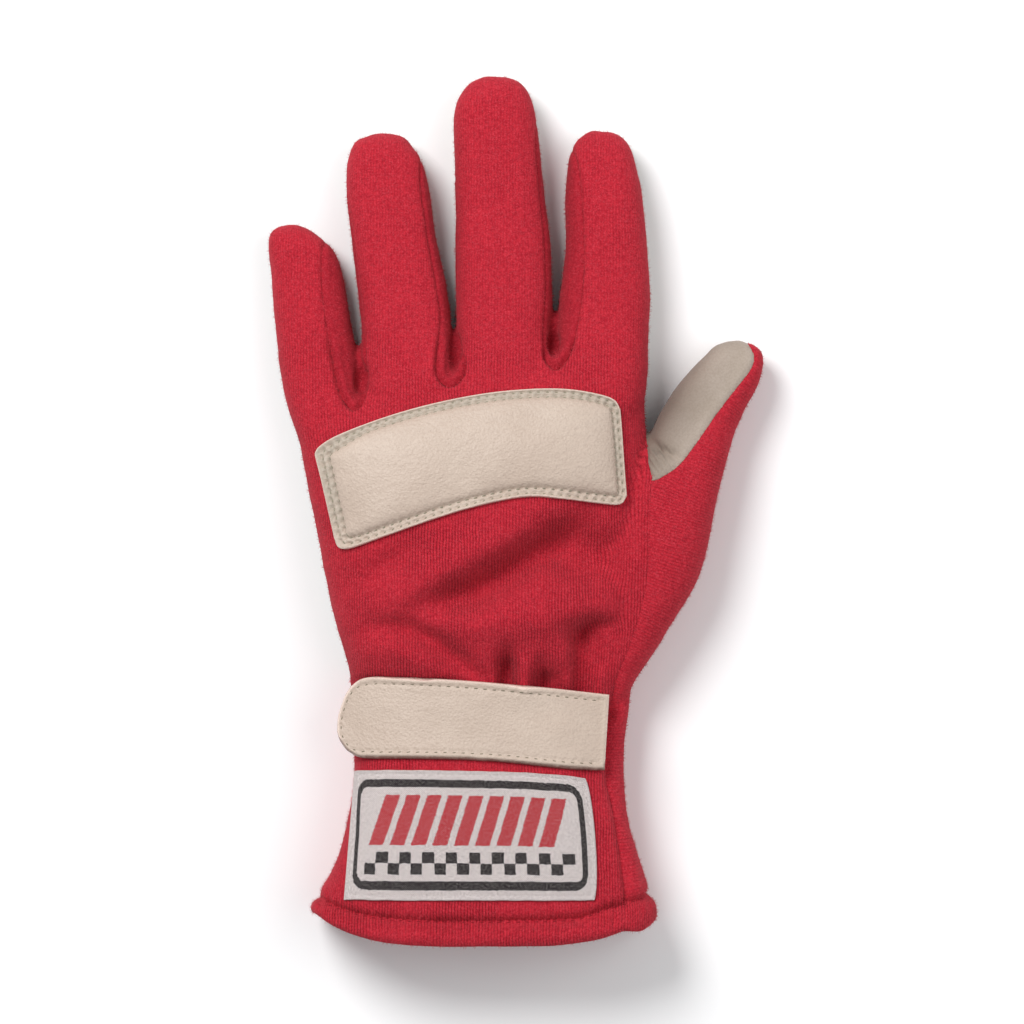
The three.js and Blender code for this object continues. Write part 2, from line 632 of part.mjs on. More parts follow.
const pieces = [];
for (const [name, cut] of stripCuts) pieces.push([name, mainBody(shell.intersect(cut)), colours.knit]);
let rest = shell;
for (const [, , grownCut] of stripCuts) rest = rest.subtract(grownCut);
pieces.push(["thumb_face", mainBody(rest.intersect(face)), colours.suede]);
const knitSide = side.add(leather.intersect(cuffSide));
pieces.push(["side_panel", mainBody(rest.subtract(faceGrown).intersect(knitSide)), colours.knit]);
const main = rest.subtract(faceGrown).subtract(sideGrown);
pieces.push(["back_panel", mainBody(main.subtract(leatherGrown)), colours.knit]);
pieces.push(["palm_panel", mainBody(main.intersect(leather).subtract(cuffSideGrown)), colours.suede]);

// ---- pieces sewn on ----------------------------------------------------------
const patchThickness = (edge) => mix(patchEdge, patchPad, clamp(edge / 2, 0, 1));
pieces.push(["knuckle_patch", laid(patchRows, patchLines, patchThickness, backHeight, 0.15), colours.cream]);
const strapHeight = (x, y) => {
  const wrist = backHeight(x, y);
  if (x > strapLift.from) return wrist;
  const away = strapLift.from - x;
  return Math.max(wrist, backHeight(strapLift.from, y) - strapLift.rise * away - 0.012 * away * away);
};
pieces.push(["wrist_strap", laid(strapRows, strapLines, () => strapThick, strapHeight, 0.4), colours.cream]);
pieces.push(["cuff_label", laid(labelRows, labelLines, () => labelThick, backHeight, 0.2), colours.label]);

function hemRing(rows) {
  return loft(
    rows.map((r) => {
      const station = Math.max(r.y, -115.5);
      const left = column(bodyRows, "left", station) - r.out;
      const right = column(bodyRows, "right", station) + r.out;
      const top = column(bodyRows, "top", station) + r.out;
      const middle = (left + right) / 2;
      const half = (right - left) / 2;
      const widest = (column(bodyRows, "top", station) + floorSink) * sideShare - floorSink;
      const square = column(bodyRows, "square", station);
      const ring = sectionPoints(half, top - widest, widest + floorSink, square, bottomSquare, 20, 8);
      return ring.map(([x, z]) => {
        const place = bodyPlace(station, middle + x, widest + z, middle, half);
        place.y += r.y - station;
        return place;
      });
    }),
  );
}
const hemOutside = solid(hemRing(hemRows)).intersect(aboveFloor);
const hemInside = solid(
  hemRing([
    { y: -108, out: hemPuff - hemThick },
    { y: -112, out: hemPuff - hemThick },
    { y: -119, out: hemPuff - hemThick },
  ]),
).intersect(solid(new THREE.BoxGeometry(400, 400, 200).translate(0, 0, 100 + hemThick - hemPuff)));
pieces.push(["cuff_hem", mainBody(hemOutside.subtract(hemInside)), colours.knit]);

const glove = new THREE.Group();
glove.name = "racing_glove";
for (const [name, made, look] of pieces) glove.add(meshOf(name, made, look));

export default glove;
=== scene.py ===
# Looks of a left-hand racing glove lying on its palm: fleeced red knit, grey brushed
# leather face, padded cream leather knuckle patch, wrist strap and woven cuff label.
# Tables and sizes are in millimetres; a mesh gets them times mm.
import math
from functools import partial

import bmesh
import bpy
import numpy as np
from mathutils import Matrix, Vector, noise
from mathutils.bvhtree import BVHTree
from mathutils.interpolate import poly_3d_calc
from mathutils.kdtree import KDTree


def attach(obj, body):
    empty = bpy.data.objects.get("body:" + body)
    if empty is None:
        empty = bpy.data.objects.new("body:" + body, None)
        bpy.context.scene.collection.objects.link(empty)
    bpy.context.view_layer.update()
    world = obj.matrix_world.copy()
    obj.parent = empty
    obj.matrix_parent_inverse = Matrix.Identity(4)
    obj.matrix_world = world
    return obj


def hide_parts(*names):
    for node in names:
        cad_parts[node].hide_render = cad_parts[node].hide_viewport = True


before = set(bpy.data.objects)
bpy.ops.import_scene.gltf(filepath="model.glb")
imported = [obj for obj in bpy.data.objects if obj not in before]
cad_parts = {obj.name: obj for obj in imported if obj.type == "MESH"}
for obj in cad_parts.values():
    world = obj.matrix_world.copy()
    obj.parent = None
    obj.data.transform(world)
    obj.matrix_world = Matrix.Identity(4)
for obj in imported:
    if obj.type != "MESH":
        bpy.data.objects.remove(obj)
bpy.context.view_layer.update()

mm = 0.001
down = Vector((0, 0, -1))
rayFrom = 0.1  # rays come down from this height, in metres


def columns(names, rows):
    # a table with named columns, and one more that numbers its rows
    table = {name: np.array([row[i] for row in rows], float) for i, name in enumerate(names.split())}
    table["row"] = np.arange(len(rows), dtype=float)
    return table


def column(table, key, at, along="y"):
    # one column anywhere along the table: a smooth curve through its rows
    xs = table[along]
    ys = table[key]
    at = np.asarray(at, float)
    i = np.clip(np.searchsorted(xs, at) - 1, 0, len(xs) - 2)
    before = np.clip(i - 1, 0, None)
    after = np.clip(i + 2, None, len(xs) - 1)
    span = xs[i + 1] - xs[i]
    t = (at - xs[i]) / span
    slopeA = (ys[i + 1] - ys[before]) / (xs[i + 1] - xs[before]) * span
    slopeB = (ys[after] - ys[i]) / (xs[after] - xs[i]) * span
    curve = (2 * t**3 - 3 * t**2 + 1) * ys[i] + (t**3 - 2 * t**2 + t) * slopeA
    curve += (3 * t**2 - 2 * t**3) * ys[i + 1] + (t**3 - t**2) * slopeB
    straight = ys[i] + (ys[i + 1] - ys[i]) * t
    return np.where((t < 0) | (t > 1), straight, curve)


def ease(value, low, high):
    # 0 below low, 1 above high, soft between
    t = np.clip((value - low) / (high - low), 0, 1)
    return t * t * (3 - 2 * t)


def hump(away, wide):
    return np.exp(-((away / wide) ** 2))


def unit(vectors):
    return vectors / np.linalg.norm(vectors, axis=-1)[..., None]


def unevenness(at, size, seed):
    # smooth random swells of a size, the same on each run
    shift = Vector((seed * 7.31, seed * 3.17, seed * 5.53))
    swells = [noise.noise(Vector(p) / size + shift) for p in at.reshape(-1, 3)]
    return np.array(swells).reshape(at.shape[:-1])


def rounded(corners, rounds=3, closed=True):
    # cuts the corners of an outline again and again until it runs smoothly
    line = np.array(corners, float)
    for _ in range(rounds):
        start = line if closed else line[:-1]
        end = np.roll(line, -1, axis=0) if closed else line[1:]
        cut = np.stack([start * 0.75 + end * 0.25, start * 0.25 + end * 0.75], axis=1).reshape(-1, 2)
        line = cut if closed else np.vstack([line[:1], cut, line[-1:]])
    return line


def fromSegment(x, y, ax, ay, bx, by):
    # the nearest place on a segment, as a share of its length, and the way from there
    rx = bx - ax
    ry = by - ay
    t = np.clip(((x - ax) * rx + (y - ay) * ry) / (rx * rx + ry * ry), 0, 1)
    return t, x - ax - t * rx, y - ay - t * ry


def besideLine(at, line):
    # distance from a line seen from above, positive to the right of its direction
    best = np.full(len(at), 1e9)
    side = np.zeros(len(at))
    for (ax, ay), (bx, by) in zip(line, line[1:]):
        _, dx, dy = fromSegment(at[:, 0], at[:, 1], ax, ay, bx, by)
        far = np.hypot(dx, dy)
        nearer = far < best
        best = np.where(nearer, far, best)
        side = np.where(nearer, dx * (by - ay) - dy * (bx - ax), side)
    return best * np.where(side < 0, -1, 1)


def insideBy(at, outline):
    # how far inside a closed outline each place lies, negative outside it
    margin = 4
    flat = at.reshape(-1, at.shape[-1])[:, :2]
    result = np.full(len(flat), -9.0)
    near = (flat > outline.min(axis=0) - margin) & (flat < outline.max(axis=0) + margin)
    near = np.where(near.all(axis=1))[0]
    x, y = flat[near].T
    best = np.full(len(near), 1e9)
    within = np.zeros(len(near), bool)
    for (ax, ay), (bx, by) in zip(outline, np.roll(outline, -1, axis=0)):
        _, dx, dy = fromSegment(x, y, ax, ay, bx, by)
        best = np.minimum(best, np.hypot(dx, dy))
        if ay != by:
            crosses = (ay > y) != (by > y)
            within ^= crosses & (x < ax + (y - ay) * (bx - ax) / (by - ay))
    result[near] = np.where(within, best, -best)
    return result.reshape(at.shape[:-1])


def runOf(*parts):
    # how far along a line each of its points is
    return np.concatenate([[0], np.cumsum(np.hypot(*(np.diff(part) for part in parts)))])


def places(bm):
    return np.array([v.co for v in bm.verts], float).reshape(-1, 3) / mm


def readAll(items, key, width=1):
    # one value or vector of every vertex or face
    values = np.zeros(len(items) * width)
    items.foreach_get(key, values)
    return values.reshape(-1, width) if width > 1 else values


def addObject(name, data):
    piece = bpy.data.objects.new(name, data)
    bpy.context.scene.collection.objects.link(piece)
    return piece


def toMesh(bm, name, smooth=True):
    for face in bm.faces:
        face.smooth = smooth
    mesh = bpy.data.meshes.new(name)
    bm.to_mesh(mesh)
    bm.free()
    return mesh


def startMesh(*layers):
    # an empty mesh whose vertices carry some values
    bm = bmesh.new()
    for layer in layers:
        bm.verts.layers.float.new(layer)
    return bm


# the knit and leather shell
glove = {
    "wall": 1.8,  # fleeced knit with its lining
    "voxel": 0.93,  # fineness of the one skin that the tubes are melted into
    "rounds": 6,  # smoothing of that skin
    "swell": 0.3,  # slow unevenness of cloth filled out by nothing but air
}
hand = columns("y left right top square bow slant", [
    (-119, -60.4, 42.1, 37.6, 3.5, 12.4, 0), (-115.5, -58.9, 40.9, 37.5, 3.6, 9.7, 0),
    (-111.5, -57.2, 39.6, 37.3, 3.7, 7, 0), (-104, -52.7, 36.8, 36.5, 3.9, 3.5, 0),
    (-92.5, -48.8, 32.8, 35, 4.2, 1.2, 0), (-81, -46.7, 31.4, 33.5, 3.8, 0.2, 0),
    (-69.5, -46.5, 31.3, 31.6, 3.2, 0, 0), (-58, -46.6, 32.8, 30.9, 2.9, 0, 0),
    (-46, -48, 34, 32.2, 2.8, 0, 0), (-34, -51.3, 34.8, 34, 3, 0, 0),
    (-20, -54.6, 36.4, 35, 2.8, 0, 0), (-3, -57.6, 38, 34.5, 2.8, 0, 0.02),
    (12, -60.2, 38.2, 33, 2.9, 0, 0.07), (24, -61.8, 37.6, 31, 2.9, 0, 0.14),
    (32, -63.2, 37.2, 28.5, 2.8, 0, 0.18), (38, -63.5, 36.5, 25, 2.4, 0, 0.2),
    (42, -62, 34.5, 20.5, 2.4, 0, 0.2),
])
# the cloth is drawn in between the fingers
crotches = {
    "little ring": [
        (-45.2, 31.2, 1.3, 1), (-44.4, 36, 1.5, 2.2), (-44.2, 40, 1.6, 2), (-44.4, 44, 1.6, 0),
    ],
    "ring middle": [
        (-17.4, 41, 1, 0.8), (-17.2, 44, 1.2, 2.8), (-17.1, 48, 1.4, 2.6), (-17.2, 52, 1.5, 0),
    ],
    "middle index": [(10.6, 44.6, 1, 0.9), (10.9, 47, 1.3, 2.6), (11.2, 49, 1.4, 1.8), (11.5, 52, 1.5, 0)],
}
# "side" is the share of a section's height where it is widest
tube = {"side": 0.42, "sink": 1.2, "lowSquare": 4.5, "bowSquare": 4}  # it sinks below the floor
limb = {"side": 0.46, "square": 3.0, "lowSquare": 2.6, "littleLean": -0.5}  # the little tip leans out
# the leather web beside the thumb: its middle and reach, its ribs, and its crease's start and run
web = {"x": 42.2, "y": 13.8, "reach": 3.8, "rib": 0.5, "pitch": 1.5, "crease": (38.6, 19.6, 7.4, -3.6)}

# folds of the back, seen from above: x, y, width and depth along each; a ridge has depth below 0
folds = {
    "main valley": [
        (-27, -27.5, 4.2, 1.6), (-20, -26.3, 4.6, 4.6), (-12, -23.8, 4.8, 7.6), (-4, -19.2, 5, 8.8),
        (4, -14, 5, 8.8), (12, -9, 5, 6.6), (18, -4.5, 5, 3.4), (23, 1, 5, 1.2),
    ],
    "ridge above it": [
        (-39, -29, 4.5, -0.8), (-30.5, -23.5, 5, -2.2), (-20.4, -17, 5, -2.9), (-10.8, -11.6, 5, -2.4),
        (-1.8, -6.6, 5, -1.6), (7, -1.5, 5, -0.6),
    ],
    "faint valley": [(-45, -20.5, 3.2, 1), (-35.2, -14.6, 3.2, 2.2), (-28, -10.3, 3.2, 1.2)],
    "ridge below it": [
        (-23, -31, 4, -0.9), (-10, -32.5, 5.5, -2.2), (4.6, -32, 5.5, -2.6), (14, -30.2, 5, -2.2),
        (26, -27, 5, -1.4),
    ],
    "right slope": [
        (7, -15, 6.5, 1.4), (14, -13.4, 8, 6), (21, -13, 8.5, 8.6), (28, -13, 7.5, 6.2),
        (34, -12.5, 6, 2),
    ],
    "low valley": [
        (-41, -33, 3, 1.6), (-31.6, -34, 3.2, 3.6), (-24.3, -37, 3.2, 4.2), (-19.5, -41, 3.2, 4.2),
        (-14.5, -44.8, 3.2, 3.8), (-9.5, -48.5, 3.2, 3),
    ],
    "mound": [(-47, -42, 4, -1), (-35, -40.5, 4.5, -2), (-25, -43.8, 4, -1.4)],
    "under the strap": [(-46, -50.6, 2.6, 3.4), (-15, -50.8, 2.6, 3.4)],
    "first gather": [(-2.2, -41, 2.4, 3.4), (-2.3, -45, 2.6, 8.2), (-2.2, -54, 2.6, 8.2)],
    "between gathers": [(3.2, -44.5, 2, -1), (3.2, -52, 2, -1)],
    "second gather": [(8, -45, 2.7, 3.4), (8.4, -48.5, 3.2, 8.6), (8.6, -56, 3.2, 8.6)],
    "small gather": [(13.2, -46.5, 1.8, 2), (13.2, -54, 1.8, 4.6)],
    "deep pleat": [
        (22.6, -37.4, 5.2, 12.5), (21.8, -41, 4.2, 14), (20.8, -45, 2.8, 15), (20.2, -49, 2, 15),
        (19.6, -56, 1.8, 14),
    ],
    "pleat's mouth": [(17.8, -35.6, 2.6, 4.4), (22, -36, 3, 3.5), (27.2, -35.6, 2.6, 4)],
    "pleat's left wall": [
        (19.6, -39, 3.6, 2.6), (18.6, -44, 3.4, 4.6), (18, -50, 3.4, 4.6), (17.6, -56, 3.4, 4.6),
    ],
    "beside the pleat": [(17, -36, 2.4, -0.8), (16.2, -41, 2.4, -1.6), (15.6, -50, 2.2, -1.6)],
    "wrist falls to the right": [(38, -53, 15, 4.6), (38, -72, 15, 4.6)],
    "strap's end": [(31.6, -45.5, 2, 1.2), (30.2, -49.5, 2.4, 4), (27.4, -57, 2.6, 4.6)],
}
limbNames = "x y wide thick low"
little = columns(limbNames, [
    (-51, 10, 17, 24, -1.2), (-53.5, 26, 20.8, 25, -1.2), (-56, 38, 22.8, 23, -1.2),
    (-58, 51, 22, 21.5, -1.2), (-59.5, 62, 21.5, 20.5, -1.2), (-60.5, 70, 20.3, 19.5, -1),
    (-62.5, 76.3, 18.7, 18, -0.2), (-64, 80.2, 15.2, 14, 1.8), (-65.3, 82.5, 8.5, 8, 4.8),
    (-65.7, 83.1, 2, 2, 8),
])
ring = columns(limbNames, [
    (-28.5, 18, 26, 31, -1.2), (-30.3, 38, 27.4, 27.5, -1.2), (-31.3, 51, 26, 25, -1.2),
    (-32.7, 64, 25.8, 23.5, -1.2), (-34.9, 77, 24.5, 22.5, -1.2), (-36.5, 90, 24.1, 21.5, -1.2),
    (-37.6, 99, 22.6, 20, -1), (-38, 104, 19.5, 17.5, 0.2), (-37.8, 107.6, 14.6, 13, 2.3),
    (-37.8, 109.4, 7.2, 7, 5), (-37.8, 109.8, 2, 2, 8),
])
middle = columns(limbNames, [
    (-2.4, 18, 26, 32, -1.2), (-2.9, 38, 28.6, 28.5, -1.2), (-3.1, 51, 27.2, 26, -1.2),
    (-3.05, 64, 27.8, 25, -1.2), (-3.4, 77, 27.6, 24, -1.2), (-4.2, 90, 25.8, 23, -1.2),
    (-4.9, 103, 24.8, 22, -1.2), (-5.7, 112, 24.4, 21, -1), (-5.9, 117, 23, 19.5, -0.4),
    (-6.1, 121, 20, 17, 0.7), (-6.4, 124.4, 14.4, 12, 2.8), (-6.5, 125.9, 7.2, 6.5, 5.3),
    (-6.5, 126.2, 2, 2, 8),
])
index = columns(limbNames, [
    (22.4, 18, 25, 28, -1.2), (24.2, 38, 28.2, 28, -1.2), (25.5, 51, 26.8, 25.5, -1.2),
    (26.4, 64, 25.8, 24, -1.2), (26.7, 77, 23.6, 23, -1.2), (26, 90, 22.3, 22, -1.2),
    (25.3, 98.5, 20.2, 20.5, -0.8), (25, 103.5, 18, 18, 0.3), (24.6, 107.6, 13.6, 13.5, 2.1),
    (24.4, 109.8, 7, 7.5, 5), (24.4, 110.2, 2, 2, 8),
])
thumb = columns(limbNames, [
    (20, -57, 18, 22, -1.2), (26, -43, 22, 25.5, -1.2), (33, -29, 25.6, 28, -1.2),
    (39.2, -14, 30, 29, -1.2), (43.6, 1, 28.8, 28.5, -1.2), (48.8, 13.9, 24.4, 27, -1.2),
    (52.9, 24.6, 22.2, 24.5, -1.2), (57.8, 33.4, 19.8, 22, -1), (61.9, 39.1, 18, 20, -0.4),
    (64.4, 43.5, 16.2, 17, 1), (65.5, 46.4, 13.8, 13, 3), (65.9, 48.2, 9.6, 8.5, 5.4),
    (66.1, 49.2, 3, 3, 8.2),
])

# seams seen from above; a strip's ends run out over the side of the finger, near its tip
stripOutlines = {
    "fourchette_little_ring": [
        (-46.5, 28.6), (-50.2, 32.4), (-52.3, 42), (-54.6, 54), (-55.9, 66), (-55.9, 73), (-55.2, 77.5),
        (-53.5, 81), (-50.6, 84), (-50.6, 104), (-49.4, 98), (-48.2, 90), (-46.6, 77), (-45.1, 64),
        (-43.9, 54), (-43.2, 46), (-43, 38), (-43.8, 32),
    ],
    "fourchette_ring_middle": [
        (-19.3, 35.6), (-22.3, 38.6), (-22.6, 43), (-20.9, 55), (-21.9, 63), (-24.3, 75), (-26.4, 89),
        (-27.2, 96), (-27.3, 101), (-26, 105), (-22, 108), (-19.5, 118), (-17.6, 106), (-16.8, 90),
        (-16.8, 64), (-16.7, 54), (-16.2, 47), (-14.4, 43.4), (-14.4, 40.2), (-16.2, 37.2),
    ],
    "fourchette_middle_index": [
        (11.8, 40.4), (9, 43.5), (8.4, 48), (9, 58), (9.3, 66), (9, 77), (7.7, 90), (6.7, 101),
        (6.2, 108), (6.6, 114), (9, 119), (13, 117), (15.6, 108), (17.3, 103), (18.7, 97), (19.6, 87.5),
        (20.2, 77), (19.9, 64), (18.4, 54.7), (16.7, 48), (14.6, 43),
    ],
}
sideSeam = [
    (39.4, 7.6), (38.9, -6), (38.5, -19.2), (36.4, -29.4), (33.6, -38.6), (28.4, -51.4), (26.5, -76.6),
    (28.5, -83.6), (29.8, -91.7), (31.2, -101), (32.8, -114), (33.4, -135),
]
thumbSeam = [
    (41.2, 9), (44.5, 10.9), (47.2, 12.7), (50.6, 16.6), (54.9, 22.8), (60.2, 30.3), (65.7, 37.1),
    (68.9, 41.1), (69.9, 44.5), (68.6, 47.6), (66.6, 50), (66.6, 60),
]
webEdge = columns("y x", [(-140, 39.9), (9, 39.9), (14, 38.5), (23, 38.3), (29, 41.4), (140, 41.4)])
edgeSeam = columns("y z", [(-140, 15), (-50, 14), (0, 13), (25, 11), (45, 9), (140, 8.2)])
wristLine = -48
hemLine = -112.9  # the panels end here, under the turned hem


def foldDepth(paths, x, y):
    # how deep folds press the cloth in at a place seen from above
    depth = np.zeros_like(x)
    for path in paths.values():
        deep = np.zeros_like(x)
        nearest = np.full_like(x, 1e9)
        for (x0, y0, wide0, deep0), (x1, y1, wide1, deep1) in zip(path, path[1:]):
            t, dx, dy = fromSegment(x, y, x0, y0, x1, y1)
            away = np.hypot(dx, dy)
            here = (deep0 + (deep1 - deep0) * t) * hump(away, wide0 + (wide1 - wide0) * t)
            deep = np.where(away < nearest, here, deep)
            nearest = np.minimum(nearest, away)
        depth = depth + deep
    return depth


def arch(half, high, square, count):
    # half of a squared ellipse, from +x to -x, with its points evenly along it
    turn = np.linspace(0, math.pi, 361)
    x = np.sign(np.cos(turn)) * half * np.abs(np.cos(turn)) ** (2 / square)
    z = high * np.clip(np.sin(turn), 0, None) ** (2 / square)
    run = runOf(x, z)
    at = np.linspace(0, run[-1], count + 1)
    return np.interp(at, run, x), np.interp(at, run, z), at


def section(half, above, below, square, lowSquare, nTop, nLow):
    # a closed section and, for each point, how far the cloth runs beyond its plain x
    topX, topZ, topRun = arch(half, above, square, nTop)
    lowX, lowZ, lowRun = arch(half, below, lowSquare, nLow)
    x = np.concatenate([topX, -lowX[1:-1]])
    z = np.concatenate([topZ, -lowZ[1:-1]])
    crown = topRun[-1] / 2
    under = np.minimum(lowRun, lowRun[-1] - lowRun)[1:-1]
    lowAcross = np.sign(-lowX[1:-1]) * (crown - under)
    extra = np.concatenate([crown - topRun - topX, lowAcross + lowX[1:-1]])
    fade = np.concatenate([np.ones(nTop + 1), ease(np.abs(lowX[1:-1]) / half, 0.2, 0.95)])
    return x, z, extra * fade


def handSides(station, out=0.0):
    # the middle and the half width of the hand's tube
    left = column(hand, "left", station) - out
    right = column(hand, "right", station) + out
    return (left + right) / 2, (right - left) / 2


def bowAt(x, station, out=0.0):
    # 1 at the middle of the cuff's mouth, 0 at its sides
    middleX, half = handSides(station, out)
    return 1 - np.clip(np.abs(x - middleX) / half, 0, 1) ** tube["bowSquare"]


def handRing(station, out=0.0, nTop=120, nLow=40):
    # one section of the hand's tube: its points, and their extra run across
    middleX, half = handSides(station, out)
    top, square, bow, slant = (column(hand, key, station) for key in ("top", "square", "bow", "slant"))
    side = (top + tube["sink"]) * tube["side"] - tube["sink"]
    rise = top + out - side
    x, z, extra = section(half, rise, side + tube["sink"], square, tube["lowSquare"], nTop, nLow)
    y = station - bow * (1 - np.clip(np.abs(x) / half, 0, 1) ** tube["bowSquare"]) + slant * x
    press = foldDepth(folds, middleX + x, y) * np.clip(z / (rise * 0.6), 0, 1)
    return np.stack([middleX + x, y, side + z - press], axis=1), extra


def handTube():
    stations = np.concatenate([np.arange(-118.5, 41, 1.2), [41.5]])
    rings, extras = map(np.array, zip(*(handRing(station) for station in stations)))
    return rings, np.stack([extras, stations[:, None] - rings[..., 1]], axis=-1)


def limbTube(rows, lean=0.0, steps=8, count=72):
    # a finger or the thumb: sections square to its own middle line
    at = np.linspace(0, rows["row"][-1], (len(rows["row"]) - 1) * steps + 1)
    x, y, wide, thick, low = (column(rows, key, at, "row") for key in limbNames.split())
    along = unit(np.stack([np.gradient(x), np.gradient(y)], axis=1))
    run = runOf(x, y)
    leans = lean * ease(at, at[-1] - 4.5, at[-1] - 1.5)
    rings = []
    notes = []
    share = limb["side"]
    nTop = int(count * 0.56)
    for i in range(len(at)):
        cx, cz, extra = section(
            wide[i] / 2, (1 - share) * thick[i], share * thick[i], limb["square"], limb["lowSquare"],
            nTop, count - nTop,
        )
        px = x[i] + along[i, 1] * cx
        py = y[i] - (along[i, 0] - leans[i]) * cx
        rings.append(np.stack([px, py, low[i] + share * thick[i] + cz], axis=1))
        notes.append(np.stack([x[i] + cx + extra - px, run[i] + y[0] - py], axis=1))
    return np.array(rings), np.array(notes)


def layTube(bm, rings, notes):
    # a grid bent round, ring by ring; its seam and ends are closed afterwards
    stations, count = rings.shape[:2]
    across = bm.verts.layers.float["across"]
    along = bm.verts.layers.float["along"]
    grid = bmesh.ops.create_grid(bm, x_segments=count, y_segments=stations - 1, size=0.5)
    for vert in grid["verts"]:
        i = round((vert.co.x + 0.5) * count) % count
        j = round((vert.co.y + 0.5) * (stations - 1))
        vert[across], vert[along] = notes[j, i]
        vert.co = rings[j, i] * mm


def makeTubes():
    bm = startMesh("across", "along")
    layTube(bm, *handTube())
    layTube(bm, *limbTube(little, limb["littleLean"]))
    for rows in (ring, middle, index, thumb):
        layTube(bm, *limbTube(rows))
    bmesh.ops.remove_doubles(bm, verts=bm.verts, dist=1e-7)
    bmesh.ops.holes_fill(bm, edges=[e for e in bm.edges if e.is_boundary], sides=0)
    bmesh.ops.recalc_face_normals(bm, faces=bm.faces)
    return bm


def meltTogether(tubes):
    # one skin over the overlapping tubes
    mesh = bpy.data.meshes.new("tubes")
    tubes.to_mesh(mesh)
    body = addObject("tubes", mesh)
    remesh = body.modifiers.new("oneSkin", "REMESH")
    remesh.mode = "VOXEL"
    remesh.voxel_size = glove["voxel"] * mm
    smooth = body.modifiers.new("rounded", "SMOOTH")
    smooth.factor = 0.5
    smooth.iterations = glove["rounds"]
    graph = bpy.context.evaluated_depsgraph_get()
    skin = bpy.data.meshes.new_from_object(body.evaluated_get(graph))
    bpy.data.objects.remove(body)
    bm = bmesh.new()
    bm.from_mesh(skin)
    bpy.data.meshes.remove(skin)
    return bm


def carryRuns(tubes, skin):
    # gives the skin the tubes' run of the cloth, so that the knit follows each finger
    tree = BVHTree.FromBMesh(tubes)
    tubes.faces.ensure_lookup_table()
    layers = [tubes.verts.layers.float[key] for key in ("across", "along")]
    notes = np.zeros((len(skin.verts), 2))
    for i, vert in enumerate(skin.verts):
        spot, _, faceNumber, _ = tree.find_nearest(vert.co)
        corners = tubes.faces[faceNumber].verts
        shares = poly_3d_calc([v.co for v in corners], spot) if len(corners) < 8 else [1]
        notes[i] = [sum(s * v[layer] for s, v in zip(shares, corners)) for layer in layers]
    skin.verts.index_update()
    pairs = np.array([(e.verts[0].index, e.verts[1].index) for e in skin.edges])
    count = np.bincount(pairs.ravel(), minlength=len(notes))
    for _ in range(12):  # evens out the steps where two tubes meet
        for k in (0, 1):
            total = np.bincount(pairs[:, 0], notes[pairs[:, 1], k], len(notes))
            total += np.bincount(pairs[:, 1], notes[pairs[:, 0], k], len(notes))
            notes[:, k] = total / count
    across = skin.verts.layers.float.new("across")
    along = skin.verts.layers.float.new("along")
    for i, vert in enumerate(skin.verts):
        vert[across], vert[along] = notes[i]


def scoreSkin(bm, field):
    # cuts the skin's faces along the line where a field of the places passes zero
    onSeam = 0.08  # a place this near to the seam counts as on it, in mm
    nearEnd = 0.16  # a cut this near to an edge's end, as a share of it, moves that end instead
    bm.verts.index_update()
    values = field(bm)
    values[np.abs(values) < onSeam] = 0.0
    values = values.tolist()
    online = {v: True for v in bm.verts if values[v.index] == 0.0}
    for edge in bm.edges:
        a, b = edge.verts
        fa = values[a.index]
        fb = values[b.index]
        if fa * fb < 0:
            t = fa / (fa - fb)
            near = a if t < 0.5 else b
            if min(t, 1 - t) < nearEnd and near not in online:
                near.co = a.co.lerp(b.co, t)
                online[near] = True
                values[near.index] = 0.0
    crossed = [e for e in bm.edges if values[e.verts[0].index] * values[e.verts[1].index] < 0]
    for edge in crossed:
        a, b = edge.verts
        fa = values[a.index]
        _, cut = bmesh.utils.edge_split(edge, a, fa / (fa - values[b.index]))
        online[cut] = True
    bmesh.ops.connect_verts(bm, verts=list(online), check_degenerate=False)


strips = {name: rounded(corners) for name, corners in stripOutlines.items()}
sideLine = rounded(sideSeam, 2, False)
thumbLine = rounded(thumbSeam, 2, False)
sideOutline = np.vstack([sideLine, [(120, -135), (120, 60)], thumbLine[::-1]])
faceOutline = np.vstack([[(34, 7.9)], thumbLine, [(34, 60)]])


def aboveEdge(at):
    return at[:, 2] - column(edgeSeam, "z", at[:, 1])


def onFace(at):
    # how far inside the thumb's leather each place lies, seen from above
    web = at[:, 0] - np.interp(at[:, 1], webEdge["y"], webEdge["x"])
    return np.minimum(insideBy(at, faceOutline), web)


def pastWrist(at):
    return np.where(aboveEdge(at) > 0.1, 1.0, at[:, 1] - wristLine)


panels = {
    "fourchette_little_ring": "knit",
    "fourchette_ring_middle": "knit",
    "fourchette_middle_index": "knit",
    "thumb_face": "suede",
    "side_panel": "knit",
    "back_panel": "knit",
    "palm_panel": "suede",
}
panelNames = list(panels)


def panelOf(at):
    # the panel that each place belongs to, in the order that they are cut
    found = np.full(len(at), panelNames.index("palm_panel"))
    found[aboveEdge(at) > 0] = panelNames.index("back_panel")
    low = (aboveEdge(at) <= 0) & (at[:, 1] < wristLine)
    side = insideBy(at, sideOutline) > 0
    found[low | side] = panelNames.index("side_panel")
    found[onFace(at) > 0] = panelNames.index("thumb_face")
    for name, outline in strips.items():
        found[insideBy(at, outline) > 0] = panelNames.index(name)
    return found


